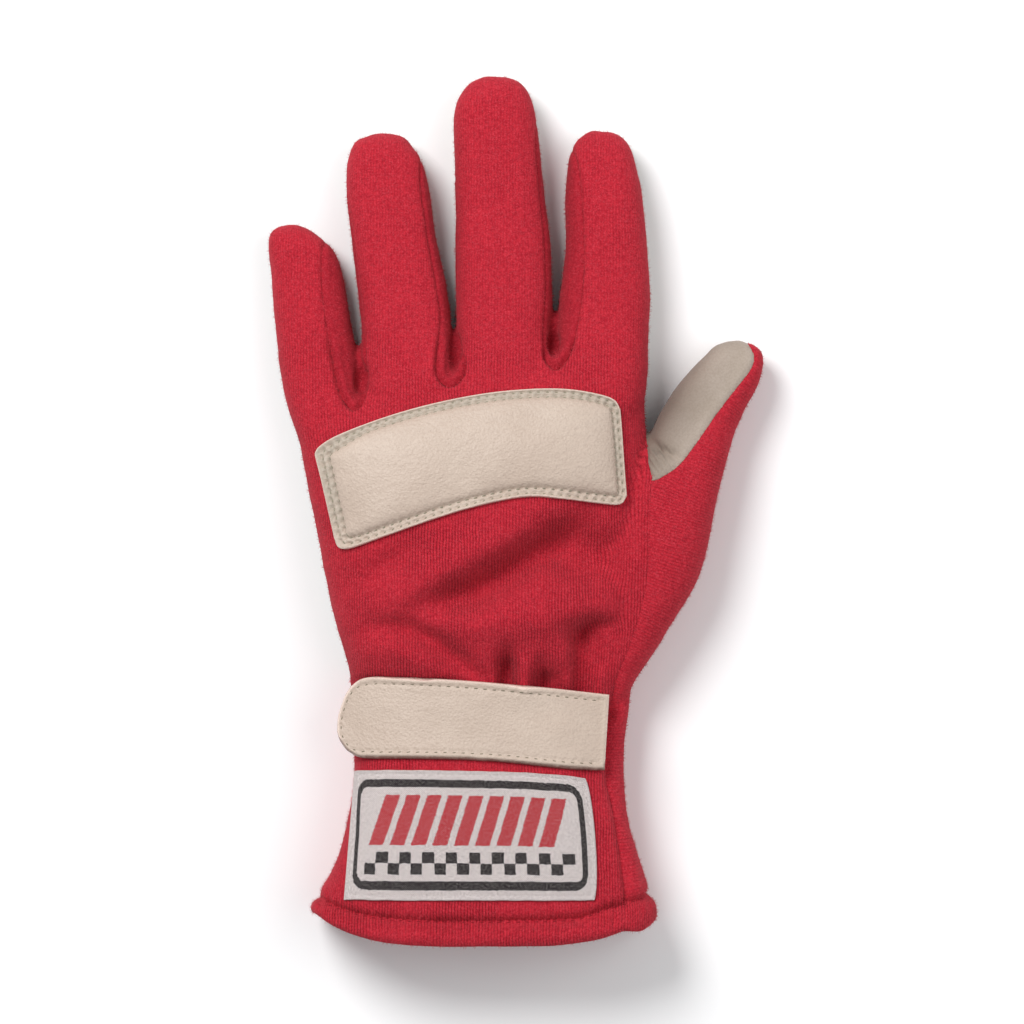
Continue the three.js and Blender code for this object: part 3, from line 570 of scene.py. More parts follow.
def cutPanels(skin):
    for outline in [*strips.values(), sideOutline]:
        scoreSkin(skin, lambda bm, outline=outline: insideBy(places(bm), outline))
    for field in (onFace, aboveEdge, pastWrist):
        scoreSkin(skin, lambda bm, field=field: field(places(bm)))
    along = skin.verts.layers.float["along"]

    def station(vert):
        return vert.co.y / mm + vert[along]

    scoreSkin(skin, lambda bm: np.array([station(v) for v in bm.verts]) - hemLine)
    beyond = [f for f in skin.faces if sum(station(v) for v in f.verts) / len(f.verts) < hemLine]
    bmesh.ops.delete(skin, geom=beyond, context="FACES")
    centres = np.array([f.calc_center_median() for f in skin.faces]) / mm
    for face, number in zip(skin.faces, panelOf(centres).tolist()):
        face.material_index = number


def seamDepth(one, other, y):
    # how deep the sewing pulls two panels in where they meet
    pair = {panelNames[one], panelNames[other]}
    if pair == {"back_panel", "side_panel"}:
        return 0.12 + 0.3 * float(ease(-y, 40, 56))
    if "palm_panel" in pair:
        return 0.35
    return 0.4 if "thumb_face" in pair else 0.5


def seamTree(skin):
    # places on a seam, and how deep the sewing pulls them in there
    found = {}
    for edge in skin.edges:
        numbers = [f.material_index for f in edge.link_faces]
        if len(numbers) == 2 and numbers[0] != numbers[1]:
            for vert in edge.verts:
                deep = seamDepth(*numbers, vert.co.y / mm)
                deep *= 0.45 + 0.55 * float(ease(vert.normal.z, 0.1, 0.6))
                found[vert] = max(found.get(vert, 0), deep)
    tree = KDTree(len(found))
    for i, vert in enumerate(found):
        tree.insert(vert.co, i)
    tree.balance()
    return tree, list(found.values())


def hemStep(x):
    # the hem steps up where the cuff's seam runs into it
    return 1.8 * ease(x, 17, 28) * (1 - 0.5 * ease(x, 33, 40))


def grooveLine(x):
    # where the hem is sewn on, seen from above
    return -112.2 - 6.8 * bowAt(x, hemLine) + hemStep(x)


def gathers(at):
    # puckers along the groove, where the hem's sewing draws the cloth up
    drift = unevenness(at * [1, 0, 0], 6, 31)
    return np.sin(at[..., 0] * math.tau / 2.3 + 4 * drift) * (0.7 + drift)


def inWeb(at):
    # the leather between thumb and hand, which is ribbed where it folds up
    reach = hump(np.hypot(at[:, 0] - web["x"], at[:, 1] - web["y"]), web["reach"])
    return reach * (at[:, 2] > 6) * (onFace(at) > 0.2)


def sewSeams(skin):
    # finer faces beside the seams, then a groove with a faint roll on each side
    skin.normal_update()
    tree, _ = seamTree(skin)
    ribbed = dict(zip(skin.verts, inWeb(places(skin)).tolist()))
    near = {v for v in skin.verts if tree.find(v.co)[2] < 1.5 * mm or ribbed[v] > 0.1}
    close = [e for e in skin.edges if e.verts[0] in near and e.verts[1] in near]
    bmesh.ops.subdivide_edges(skin, edges=close, cuts=1, use_grid_fill=True)
    skin.normal_update()
    tree, deep = seamTree(skin)
    at = places(skin)
    x, y, z = at.T
    beside = besideLine(at, sideLine)
    onCuff = ease(-y, 44, 56) * (z > 12)
    push = onCuff * 0.7 * (hump(beside + 3.0, 1.8) + 0.7 * hump(beside - 2.6, 1.6))
    push -= onCuff * 0.6 * hump(beside, 1.3)
    push -= 0.2 * (1 - onCuff) * hump(beside, 1.6) * (y < 4) * (z > 12)
    toHem = np.maximum(y - grooveLine(x), 0)
    push -= 2.8 * hump(toHem, 1.7) - 0.6 * gathers(at) * hump(toHem - 1.4, 2.2)
    push += web["rib"] * inWeb(at) * np.sin((x * 0.82 + y * 0.57) * math.tau / web["pitch"])
    # round the ends of the finger strips the seam stands up as a rolled rim
    rim = ease(52 - y, 0, 6) * (y > 27) * (x < 36) * (z > 13)
    for i, vert in enumerate(skin.verts):
        _, number, away = tree.find(vert.co)
        away /= mm
        amount = push[i]
        if away < 6:
            groove = math.exp(-((away / (0.65 + 0.15 * rim[i])) ** 2))
            roll = math.exp(-(((away - 1.7) / 0.9) ** 2))
            amount += deep[number] * ((0.15 + 1.4 * rim[i]) * roll - (1 + 1.1 * rim[i]) * groove)
        vert.co += vert.normal * amount * mm


def ruffleSkin(skin):
    # slow swells over all, and small creases where the cloth is gathered
    skin.normal_update()
    at = places(skin)
    x, y, z = at.T
    push = glove["swell"] * unevenness(at, 17, 1)
    push += 0.16 * unevenness(at, 6, 2)
    top = z > 6
    push -= foldDepth(crotches, x, y) * top
    # the thumb's leather bends off from the web in a crease
    startX, startY, runX, runY = web["crease"]
    t = np.clip((x - startX) / runX, 0, 1)
    crease = hump(np.hypot(x - startX - runX * t, y - startY - runY * t), 1.5)
    push -= 3.6 * crease * ease(t, 0.0, 0.35) * (1 - 0.6 * t) * top
    beside = besideLine(at, thumbLine)
    onLeather = (beside < 0) & (beside > -8) & (y > 12) & top
    drawn = 0.1 * np.sin((0.6 * x + 0.8 * y) * math.tau / 1.9)
    push += np.where(onLeather, drawn * hump(beside, 2.6), 0)
    for vert, amount in zip(skin.verts, push.tolist()):
        vert.co += vert.normal * amount * mm


def layFlat(skin):
    # the leather face is flattened where it rests
    for vert in skin.verts:
        vert.co.z = max(vert.co.z, 0.0)


def writeMap(mesh, name, turned=False, plain=True):
    # the cloth's own run, in metres, as a UV map that patterns follow
    run = readAll(mesh.vertices, "co", 3)[:, :2] * plain
    for k, key in enumerate(("across", "along")):
        run[:, k] += readAll(mesh.attributes[key].data, "value") * mm
        mesh.attributes.remove(mesh.attributes[key])
    if turned:
        run = run[:, ::-1]
    corner = np.zeros(len(mesh.loops), int)
    mesh.loops.foreach_get("vertex_index", corner)
    mesh.uv_layers.new(name=name).data.foreach_set("uv", run[corner].ravel())


def panelObject(skin, name):
    number = panelNames.index(name)
    cut = skin.copy()
    bmesh.ops.delete(cut, geom=[f for f in cut.faces if f.material_index != number], context="FACES")
    for face in cut.faces:
        face.material_index = 0
    mesh = toMesh(cut, name)
    writeMap(mesh, "knitMap", name == "side_panel")  # that one is cut with its ribs across the thumb
    panel = addObject(name + "_cloth", mesh)
    wall = panel.modifiers.new("wall", "SOLIDIFY")
    wall.thickness = glove["wall"] * mm
    wall.offset = -1
    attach(panel, "root")
    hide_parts(name)
    return panel


tubes = makeTubes()
print("tubes", len(tubes.verts))
skin = meltTogether(tubes)
print("one skin", len(skin.faces))
carryRuns(tubes, skin)
tubes.free()
layFlat(skin)
cutPanels(skin)
print("panels scored", len(skin.faces))
ruffleSkin(skin)
sewSeams(skin)
layFlat(skin)
print("seams sewn", len(skin.faces))
skin.normal_update()
skinTree = BVHTree.FromBMesh(skin)
cloth = {name: panelObject(skin, name) for name, slot in panels.items()}
skin.free()
print("panels", {name: len(piece.data.polygons) for name, piece in cloth.items()})


def colour(code):
    # sRGB hex to the linear colour that Blender works in
    parts = [int(code[i : i + 2], 16) / 255 for i in (1, 3, 5)]
    return [c / 12.92 if c <= 0.04045 else ((c + 0.055) / 1.055) ** 2.4 for c in parts] + [1.0]


def addNode(tree, kind, inputs, **settings):
    # one node with its settings; each input gets a value, a colour's hex code or what feeds it
    node = tree.nodes.new("ShaderNode" + kind)
    for key, value in settings.items():
        setattr(node, key, value)
    for key, value in inputs.items() if isinstance(inputs, dict) else enumerate(inputs):
        if isinstance(value, bpy.types.Node):
            value = value.outputs[0]
        if isinstance(value, bpy.types.NodeSocket):
            tree.links.new(value, node.inputs[key])
        else:
            node.inputs[key].default_value = colour(value) if isinstance(value, str) else value
    return node


def newMaterial(name):
    material = bpy.data.materials.new(name)
    material.use_nodes = True
    material.node_tree.nodes.clear()
    return material, partial(addNode, material.node_tree)


def finished(material, look, base, height=None):
    # its colour, gloss and sheen, and its relief, whose strength and height in metres are in "bump"
    tree = material.node_tree
    inputs = {"Base Color": base, **look["gloss"]}
    if height:
        strength, distance = look["bump"]
        relief = {"Strength": strength, "Distance": distance, "Height": height}
        inputs["Normal"] = addNode(tree, "Bump", relief)
    addNode(tree, "OutputMaterial", {"Surface": addNode(tree, "BsdfPrincipled", inputs)})
    return material


# sizes in a look are in mm: how wide the marks of a pattern are, or how far apart
knitLook = {
    "wale": 0.88,  # between the knit's columns
    "course": 0.8,  # between its rows
    "wander": 6.25,  # the columns wander sideways over this length
    "felted": 13.3333,  # patches where the pile hides them
    "pile": 0.43478,  # fibre ends, drawn coarser than they are
    "tuft": 1.05263,  # clumps of the pile
    "deep": "#6e0d18",  # painted shade down between the columns; also dark specks in the pile
    "face": "#bd2836",
    "shade": "#a81e2d",  # where the pile lies the other way
    "fleck": "#d64a58",  # fibre ends that catch the light
    "gloss": {
        "Roughness": 0.95, "Specular IOR Level": 0.1, "Sheen Weight": 0.12, "Sheen Roughness": 0.6,
        "Sheen Tint": "#e09aa0",
    },
    "bump": (0.75, 0.00022),
}


def fleecedKnit(name, ribs, dark=0.0):
    # jersey knit, brushed: small pits between columns of loops show through a felted pile; the pits and
    # the low pile get painted shade
    look = knitLook
    material, add = newMaterial(name)
    run = add("SeparateXYZ", (add("UVMap", {}, uv_map="knitMap"),)).outputs
    solid = add("TexCoord", {}).outputs["Object"]
    wander = add("TexNoise", {"Vector": solid, "Scale": 1000 / look["wander"], "Detail": 2})
    across = add("Math", (run[0], 1000 / look["wale"], wander), operation="MULTIPLY_ADD")
    wale = add("Math", (across,), operation="FLOOR")
    edge = add("Math", (across,), operation="FRACT")
    edge = add("Math", (edge, 0.5), operation="SUBTRACT")
    edge = add("Math", (edge,), operation="ABSOLUTE")
    between = add("MapRange", (edge, 0.2, 0.5, 0.0, 1.0))
    shift = add("Math", (wale, 0.37), operation="MULTIPLY")
    rows = add("Math", (run[1], 1000 / look["course"], shift), operation="MULTIPLY_ADD")
    knot = add("Math", (rows, math.tau), operation="MULTIPLY")
    knot = add("Math", (knot,), operation="SINE")
    knot = add("Math", (knot, 0.35, 0.65), operation="MULTIPLY_ADD")
    felted = add(
        "TexNoise", {"Vector": solid, "Scale": 1000 / look["felted"], "Detail": 3, "Roughness": 0.6}
    )
    felted = add("MapRange", (felted, 0.35, 0.62, 0.35, 1.0))
    place = add("SeparateXYZ", (solid,)).outputs
    onFingers = add("MapRange", (place[1], 0.015, 0.06, 1.0, 0.4))  # the fingers are felted more
    clear = add("Math", (felted, onFingers), operation="MULTIPLY")
    clear = add("Math", (clear, ribs), operation="MULTIPLY")
    pit = add("Math", (between, knot), operation="MULTIPLY")
    pit = add("Math", (pit, clear), operation="MULTIPLY")

    pile = add("TexNoise", {"Vector": solid, "Scale": 1000 / look["pile"], "Detail": 2, "Roughness": 0.7})
    tuft = add("TexNoise", {"Vector": solid, "Scale": 1000 / look["tuft"], "Detail": 2, "Roughness": 0.6})
    base = look["face"]
    # painted shade: the pits, the low pile and, by dark, all of the surface take the deep colour
    for amount, code in (
        (add("MapRange", (tuft, 0.38, 0.62, 0.0, 1.0)), "shade"),
        (add("MapRange", (pile, 0.52, 0.72, 0.0, 0.55)), "fleck"),
        (add("MapRange", (pile, 0.46, 0.3, 0.0, 0.4)), "deep"),
        (add("Math", (pit, dark), operation="MAXIMUM"), "deep"),
    ):
        base = add("Mix", {0: amount, 6: base, 7: look[code]}, data_type="RGBA").outputs[2]
    high = add("Math", (tuft, 1.1, pile), operation="MULTIPLY_ADD")
    high = add("Math", (pit, -0.9, high), operation="MULTIPLY_ADD")
    return finished(material, look, base, high)


suedeLook = {
    "nap": 0.588235,  # fibre ends of the nap, drawn coarser than they are
    "cloud": 9.09091,  # patches where its tone moves
    "fold": 2.38095,  # soft creases
    "low": "#a89a8d",
    "high": "#b0a296",
    "dark": "#857669",  # between the fibres of the nap
    "flankShade": "#685a50",  # painted shade on the flank that the thumb turns to the hand
    "gloss": {"Roughness": 0.9, "Specular IOR Level": 0.2, "Sheen Weight": 0.1},
    "bump": (0.45, 0.0003),
}


def brushedLeather():
    # split leather, brushed: a dry nap with no gloss, its tone moving in soft patches, with painted shade
    # on the flank by the hand
    look = suedeLook
    material, add = newMaterial("brushedLeather")
    solid = add("TexCoord", {}).outputs["Object"]
    nap = add("TexNoise", {"Vector": solid, "Scale": 1000 / look["nap"], "Detail": 3, "Roughness": 0.65})
    cloud = add(
        "TexNoise", {"Vector": solid, "Scale": 1000 / look["cloud"], "Detail": 4, "Roughness": 0.55}
    )
    fold = add("TexNoise", {"Vector": solid, "Scale": 1000 / look["fold"], "Detail": 2, "Distortion": 0.5})
    # painted shade on the flank that the thumb turns to the hand, strongest toward the thumb's root
    place = add("SeparateXYZ", (solid,)).outputs
    flank = add("Math", (place[0], -0.85), operation="MULTIPLY")
    flank = add("Math", (place[1], 0.53, flank), operation="MULTIPLY_ADD")
    flank = add("MapRange", (flank, -0.034, -0.0225, 0.0, 1.0))
    along = add("Math", (place[0], 0.53), operation="MULTIPLY")
    along = add("Math", (place[1], 0.85, along), operation="MULTIPLY_ADD")
    along = add("MapRange", (along, 0.07, 0.05, 0.3, 1.0))
    flankShade = add("Math", (flank, along), operation="MULTIPLY")
    base = look["low"]
    for amount, code in (
        (add("MapRange", (cloud, 0.36, 0.64, 0.0, 1.0)), "high"),
        (add("MapRange", (nap, 0.4, 0.62, 0.0, 0.25)), "dark"),
        (add("Math", (flankShade, 0.8), operation="MULTIPLY"), "flankShade"),
    ):
        base = add("Mix", {0: amount, 6: base, 7: look[code]}, data_type="RGBA").outputs[2]
    high = add("Math", (nap, 0.4, fold), operation="MULTIPLY_ADD")
    return finished(material, look, base, high)


creamLook = {
    "pebble": 0.869565,  # the embossed grain
    "crease": 1.6129,  # its short creases
    "grain": 0.526316,  # pores between the pebbles
    "cloud": 22.2222,  # where its coat of colour is thicker
    "low": "#beab9c",
    "high": "#c5b3a4",
    "line": "#ab9688",  # painted shade in the creases and pores
    "raw": "#ead3c6",  # its cut edge
    "rowBand": "#a69c8d",  # greyer in the band between the sewn rows
    "under": "#8a7065",  # its fibrous back, which on the strap's low edge also stands for painted shade
    "gloss": {"Roughness": 0.46, "Specular IOR Level": 0.42},
    "bump": (0.68, 0.0002),
}


def coatedLeather():
    # cream grain leather with a coat of colour: fine pebbles and short creases with painted shade in them,
    # a dull satin, paler on its cut edge and greyer in the band between the sewn rows
    look = creamLook
    material, add = newMaterial("creamGrainLeather")
    solid = add("TexCoord", {}).outputs["Object"]
    pebble = add(
        "TexVoronoi", {"Vector": solid, "Scale": 1000 / look["pebble"], "Smoothness": 0.5},
        feature="SMOOTH_F1",
    )
    stretch = add("Mapping", {"Vector": solid, "Rotation": (0, 0, 0.25), "Scale": (0.55, 1.35, 1)})
    crease = {"Vector": stretch, "Scale": 1000 / look["crease"], "Detail": 3, "Roughness": 0.6}
    crease = add("TexNoise", {**crease, "Distortion": 1.2})
    grain = add("TexNoise", {"Vector": solid, "Scale": 1000 / look["grain"], "Detail": 2})
    cloud = add("TexNoise", {"Vector": solid, "Scale": 1000 / look["cloud"], "Detail": 3})
    amounts = [
        (add("MapRange", (cloud, 0.35, 0.65, 0.0, 1.0)), "high"),
        # painted shade: the low places of the creases and of the pores between the pebbles are darkened
        (add("MapRange", (crease, 0.47, 0.36, 0.0, 0.16)), "line"),
        (add("MapRange", (grain, 0.52, 0.36, 0.0, 0.3)), "line"),
    ]
    for mark in ("rowBand", "raw", "under"):
        amount = add("Attribute", {}, attribute_name=mark).outputs["Fac"]
        rough = add("MapRange", (grain, 0.3, 0.6, 0.5, 1.0))
        amounts.append((add("Math", (amount, rough), operation="MULTIPLY"), mark))
    base = look["low"]
    for amount, code in amounts:
        base = add("Mix", {0: amount, 6: base, 7: look[code]}, data_type="RGBA").outputs[2]
    high = add("Math", (grain, 1.2, pebble), operation="MULTIPLY_ADD")
    high = add("Math", (crease, 1.1, high), operation="MULTIPLY_ADD")
    return finished(material, look, base, high)


def sewingThread(name, code):
    # spun polyester thread, matt
    return finished(newMaterial(name)[0], {"gloss": {"Roughness": 0.8, "Specular IOR Level": 0.2}}, code)


labelLook = {
    "thread": 0.32,  # between the threads, drawn a little coarse
    "fray": 0.588235,  # how far apart its edges step
    "slub": 0.526316,  # thick places in the thread
    "frame": (33.2, 15.9, 3.8, 1.4, 2.4),  # half width and height, corner, line at sides and at top
    "blocks": (28.2, 4.0, 7.2, 6.1, 2.1, 0.32),  # half width, middle, half height, pitch, half, lean
    "checks": (29.7, -8.2, 3.3),  # half width, middle height, one square
    "ground": "#dad0cd",
    "shade": "#948887",
    "ink": "#140e10",  # the woven frame and the checks
    "red": "#ab2c34",
    "gloss": {"Roughness": 0.75, "Specular IOR Level": 0.25},
    "bump": (0.7, 0.00012),
}


def wovenLabel():
    # damask label: fine twill ground with a woven frame and plain blocks, edges stepped by threads
    look = labelLook
    material, add = newMaterial("wovenLabel")
    uv = add("UVMap", {}, uv_map="labelMap")
    size = add("VectorMath", {0: uv, "Scale": 1000.0}, operation="SCALE")
    fray = add("TexNoise", {"Vector": size, "Scale": 1 / look["fray"], "Detail": 3}).outputs["Color"]
    nudge = add("VectorMath", (fray, (0.8, 0.8, 0), size), operation="MULTIPLY_ADD")
    step = add("VectorMath", (nudge, (look["thread"],) * 3), operation="SNAP")
    at = add("SeparateXYZ", (step,)).outputs
    x = add("Math", (at[0], 0.4), operation="SUBTRACT")
    y = add("Math", (at[1], 0.4), operation="SUBTRACT")

    def within(value, middle, half):
        away = add("Math", (value, middle), operation="SUBTRACT")
        away = add("Math", (away,), operation="ABSOLUTE")
        return add("Math", (away, half), operation="LESS_THAN")

    def inBox(halfX, halfY, corner):
        squares = []
        for value, half in ((x, halfX), (y, halfY)):
            over = add("Math", (value,), operation="ABSOLUTE")
            over = add("Math", (over, half - corner), operation="SUBTRACT")
            over = add("Math", (over, 0.0), operation="MAXIMUM")
            squares.append(add("Math", (over, over), operation="MULTIPLY"))
        reach = add("Math", squares, operation="ADD")
        reach = add("Math", (reach,), operation="SQRT")
        return add("Math", (reach, corner), operation="LESS_THAN")

    frameX, frameY, corner, sideLine, topLine = look["frame"]
    inner = inBox(frameX - sideLine, frameY - topLine, corner - sideLine)
    framed = add("Math", (inBox(frameX, frameY, corner), inner), operation="SUBTRACT")
    checkX, checkY, square = look["checks"]
    columnNumber = add("Math", (x, 60.0 * square), operation="ADD")
    columnNumber = add("Math", (columnNumber, square), operation="DIVIDE")
    columnNumber = add("Math", (columnNumber,), operation="FLOOR")
    rowNumber = add("Math", (y, checkY), operation="GREATER_THAN")
    other = add("Math", (columnNumber, rowNumber), operation="ADD")
    other = add("Math", (other, 2.0), operation="MODULO")
    inChecks = add("Math", (within(x, 0.0, checkX), within(y, checkY, square)), operation="MULTIPLY")
    barred = add("Math", (inChecks, other), operation="MULTIPLY")
    blockX, blockY, blockHalf, pitch, wide, lean = look["blocks"]
    leaned = add("Math", (x, lean * blockY), operation="ADD")
    leaned = add("Math", (y, -lean, leaned), operation="MULTIPLY_ADD")
    wrapped = add("Math", (leaned, pitch / 2, -pitch / 2), operation="WRAP")
    inBand = add("Math", (within(leaned, 0.0, blockX), within(y, blockY, blockHalf)), operation="MULTIPLY")
    blocked = add("Math", (inBand, within(wrapped, 0.0, wide)), operation="MULTIPLY")

    run = add("SeparateXYZ", (size,)).outputs
    twist = math.tau / (look["thread"] * 1.8)
    twill = add("Math", (run[0], run[1]), operation="ADD")
    twill = add("Math", (twill, twist), operation="MULTIPLY")
    twill = add("Math", (twill,), operation="SINE")
    weft = add("Math", (run[1], twist * 1.8), operation="MULTIPLY")
    weft = add("Math", (weft,), operation="SINE")
    slub = add("TexNoise", {"Vector": size, "Scale": 1 / look["slub"], "Detail": 3, "Roughness": 0.75})
    weave = add("Math", (slub, 4.4), operation="MULTIPLY")
    weave = add("Math", (weft, 0.3, weave), operation="MULTIPLY_ADD")
    weave = add("Math", (twill, 0.45, weave), operation="MULTIPLY_ADD")
    worn = add("MapRange", (weave, 2.2, 3.2, 1.0, 0.7))  # ground threads show through
    amounts = [(add("MapRange", (weave, 2.6, 1.2, 0.0, 1.0)), "shade")]
    for amount, code in ((framed, "ink"), (barred, "ink"), (blocked, "red")):
        amounts.append((add("Math", (amount, worn), operation="MULTIPLY"), code))
    base = look["ground"]
    for amount, code in amounts:
        base = add("Mix", {0: amount, 6: base, 7: look[code]}, data_type="RGBA").outputs[2]
    inked = add("Math", (framed, barred), operation="ADD")
    inked = add("Math", (inked, blocked), operation="ADD")
    high = add("Math", (inked, 0.9, weave), operation="MULTIPLY_ADD")
    return finished(material, look, base, high)


looks = {
    "knit": fleecedKnit("fleecedKnit", 1.3),
    "plainerKnit": fleecedKnit("fleecedKnitAcross", 0.65),
    # the finger strips are painted darker all over: painted shade for the gaps between the fingers
    "stripKnit": fleecedKnit("stripKnit", 0.4, 0.3),
    "suede": brushedLeather(),
    "cream": coatedLeather(),
    "label": wovenLabel(),
    "patchThread": sewingThread("greyThread", "#8a8573"),
    "strapThread": sewingThread("oliveThread", "#77705f"),
    "redThread": sewingThread("redThread", "#7d1420"),
    "fibre": sewingThread("woolFibre", "#c23a47"),
    "whiteThread": sewingThread("whiteThread", "#d8d0ce"),
}
for name, piece in cloth.items():
    look = "stripKnit" if name in strips else "plainerKnit" if name == "side_panel" else panels[name]
    piece.data.materials.append(looks[look])
print("materials")


def crowded(count, crowd=0.6):
    # shares from 0 to 1, closer together at both ends
    k = np.linspace(0, 1, count + 1)
    return (1 - crowd) * k + crowd * (0.5 - 0.5 * np.cos(math.pi * k))


sheetNames = "topX topY lowX lowY"


def edgesAt(rows, at):
    return [column(rows, key, at, "row") for key in sheetNames.split()]


def sheetPlan(rows, pitch):
    # a sheet seen from above: cross lines from its table, close together at the edges
    fine = np.linspace(0, rows["row"][-1], 600)
    topX, topY, lowX, lowY = edgesAt(rows, fine)
    run = runOf((topX + lowX) / 2, (topY + lowY) / 2)
    at = np.interp(crowded(math.ceil(run[-1] / pitch)) * run[-1], run, fine)
    wide = np.hypot(topX - lowX, topY - lowY).max()
    t = crowded(math.ceil(wide / pitch))[None, :]
    topX, topY, lowX, lowY = (edge[:, None] for edge in edgesAt(rows, at))
    return topX * (1 - t) + lowX * t, topY * (1 - t) + lowY * t


def rimmed(x, y):
    # a sheet's outline (top edge, right end, low edge, left end), its places seen from above,
    # and how far inside the outline each of them lies
    at = np.stack([x, y], axis=-1)
    rim = np.vstack([at[:, 0], at[-1, 1:], at[-2::-1, -1], at[0, -2:0:-1]])
    return rim, np.stack([x, y, 0 * x], axis=-1), np.clip(insideBy(at, rim), 0, None)


def looped(line):
    return np.vstack([line, line[:1]])


def evenly(line, pitch):
    # points at an even pitch along a line
    run = runOf(*line.T)
    at = np.linspace(0, run[-1], max(round(run[-1] / pitch), 1) + 1)
    return np.stack([np.interp(at, run, part) for part in line.T], axis=1)


def inset(rim, by, more=0.0, leftEnd=(42, 54)):
    # the same outline (it runs clockwise, seen from above), moved in, and by more at its left end
    fine = evenly(looped(rim), 0.4)[:-1]
    along = unit(np.roll(fine, -2, axis=0) - np.roll(fine, 2, axis=0))
    inward = np.stack([along[:, 1], -along[:, 0]], axis=1)
    moved = fine + inward * (by + more * ease(-fine[:, 0], *leftEnd))[:, None]
    for _ in range(4):
        moved = (np.roll(moved, 1, axis=0) + moved * 2 + np.roll(moved, -1, axis=0)) / 4
    return moved


def flatTree(x, y):
    tree = KDTree(x.size)
    for i, spot in enumerate(zip(x.ravel(), y.ravel())):
        tree.insert((*spot, 0), i)
    tree.balance()
    return tree


def besideRow(x, y, line):
    # distance of each place from a sewn row, and how far along the row that is
    step = 0.1
    tree = flatTree(*evenly(line, step).T)
    found = [tree.find((*spot, 0))[1:] for spot in zip(x.ravel(), y.ravel())]
    number, away = np.array(found).T
    return away.reshape(x.shape), number.reshape(x.shape) * step


def holes(run, stitch, share):
    # 1 at the holes of a sewn row, less between them
    return 1 - share + share * np.cos(math.tau * (run / stitch["pitch"] - 0.5))


def turnedEdge(deep, over):
    # 0 at the rim, rising round to 1 over some distance
    return np.sqrt(1 - (1 - np.clip(deep / over, 0, 1)) ** 2)


def lookDown(tree, x, y):
    # height of what lies under each place
    high = []
    for px, py in zip(x.ravel(), y.ravel()):
        spot = tree.ray_cast(Vector((px * mm, py * mm, rayFrom)), down)[0]
        high.append(spot.z / mm if spot else 0.0)
    return np.array(high).reshape(x.shape)


def amongNeighbours(grid):
    # the mean of each place's four neighbours
    wide = np.pad(grid, 1, mode="edge")
    return (wide[:-2, 1:-1] + wide[2:, 1:-1] + wide[1:-1, :-2] + wide[1:-1, 2:]) / 4


def drape(under, rounds):
    # a stiff sheet touches the high places and bridges the low ones
    high = under.copy()
    for _ in range(rounds):
        high = np.maximum(under, amongNeighbours(high))
    return high


def groundOf(x, y, under):
    # the places that a sheet lies on, and the way up from each
    smooth = drape(under, 60)
    du, dv = (np.stack([np.gradient(a, axis=k) for a in (x, y, smooth)], axis=-1) for k in (0, 1))
    return np.stack([x, y, under], axis=-1), unit(np.cross(dv, du))


def layGrid(bm, at, notes):
    # a grid put in its place, point by point
    count, rows = at.shape[:2]
    layers = {name: bm.verts.layers.float[name] for name in notes}
    grid = bmesh.ops.create_grid(bm, x_segments=count - 1, y_segments=rows - 1, size=0.5)
    for vert in grid["verts"]:
        i = round((vert.co.x + 0.5) * (count - 1))
        j = round((vert.co.y + 0.5) * (rows - 1))
        for name, layer in layers.items():
            vert[layer] = notes[name][i, j]
        vert.co = at[i, j] * mm


def sheetObject(name, ground, up, upper, lower, node, slot, look, mapName="flatMap", marks=None):
    # a closed sheet between two heights over its ground; both meet at the rim
    upper = upper.copy()
    for edge in (np.s_[0, :], np.s_[-1, :], np.s_[:, 0], np.s_[:, -1]):
        upper[edge] = lower[edge]
    steps = (np.linalg.norm(np.diff(ground, axis=k), axis=-1).mean(axis=1 - k) for k in (0, 1))
    runX, runY = (np.concatenate([[0], np.cumsum(step)]) for step in steps)
    across, along = np.meshgrid(runX - runX[-1] / 2, runY[-1] / 2 - runY, indexing="ij")
    notes = {"across": across, "along": along, **(marks or {})}
    bm = startMesh(*notes)
    top = ground + up * upper[..., None]
    layGrid(bm, top[:, ::-1], {key: value[:, ::-1] for key, value in notes.items()})
    layGrid(bm, ground + up * lower[..., None], notes)
    bmesh.ops.remove_doubles(bm, verts=bm.verts, dist=2e-6)
    tree = BVHTree.FromBMesh(bm)
    mesh = toMesh(bm, name)
    writeMap(mesh, mapName, plain=False)
    mesh.materials.append(look)
    sheet = addObject(name, mesh)
    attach(sheet, "root")
    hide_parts(node)
    print(name, "flat size in mm", round(runX[-1], 1), round(runY[-1], 1))
    return sheet, tree


def sewRow(name, line, tree, stitch, look):
    # a row of stitches lying in their dimples
    run = runOf(*line.T)
    count = round(run[-1] / stitch["pitch"])
    at = (np.arange(count) + 0.5) * run[-1] / count
    reach = 0.4  # a stitch points along the row this far to each side of it
    back, spots, ahead = (
        np.stack([np.interp(at + by, run, part) for part in line.T], axis=1) for by in (-reach, 0, reach)
    )
    long, wide = stitch["long"] / 2, stitch["wide"] / 2
    bm = bmesh.new()
    for spot, head in zip(spots * mm, ahead - back):
        spot, normal, _, _ = tree.ray_cast(Vector((*spot, rayFrom)), down)
        if spot is None:
            continue
        heading = Vector((*head, 0))
        heading = (heading - normal * heading.dot(normal)).normalized()
        heading.rotate(Matrix.Rotation(stitch["lean"], 3, normal))
        turn = Matrix((heading, normal.cross(heading), normal)).transposed().to_4x4()
        size = Matrix.Scale(mm, 4) @ Matrix.Diagonal((long, wide, wide, 1))
        place = Matrix.Translation(spot + normal * stitch["proud"] * mm) @ turn @ size
        bmesh.ops.create_uvsphere(bm, u_segments=8, v_segments=6, radius=1, matrix=place)
    mesh = toMesh(bm, name)
    mesh.materials.append(look)
    row = addObject(name, mesh)
    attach(row, "root")
    return row


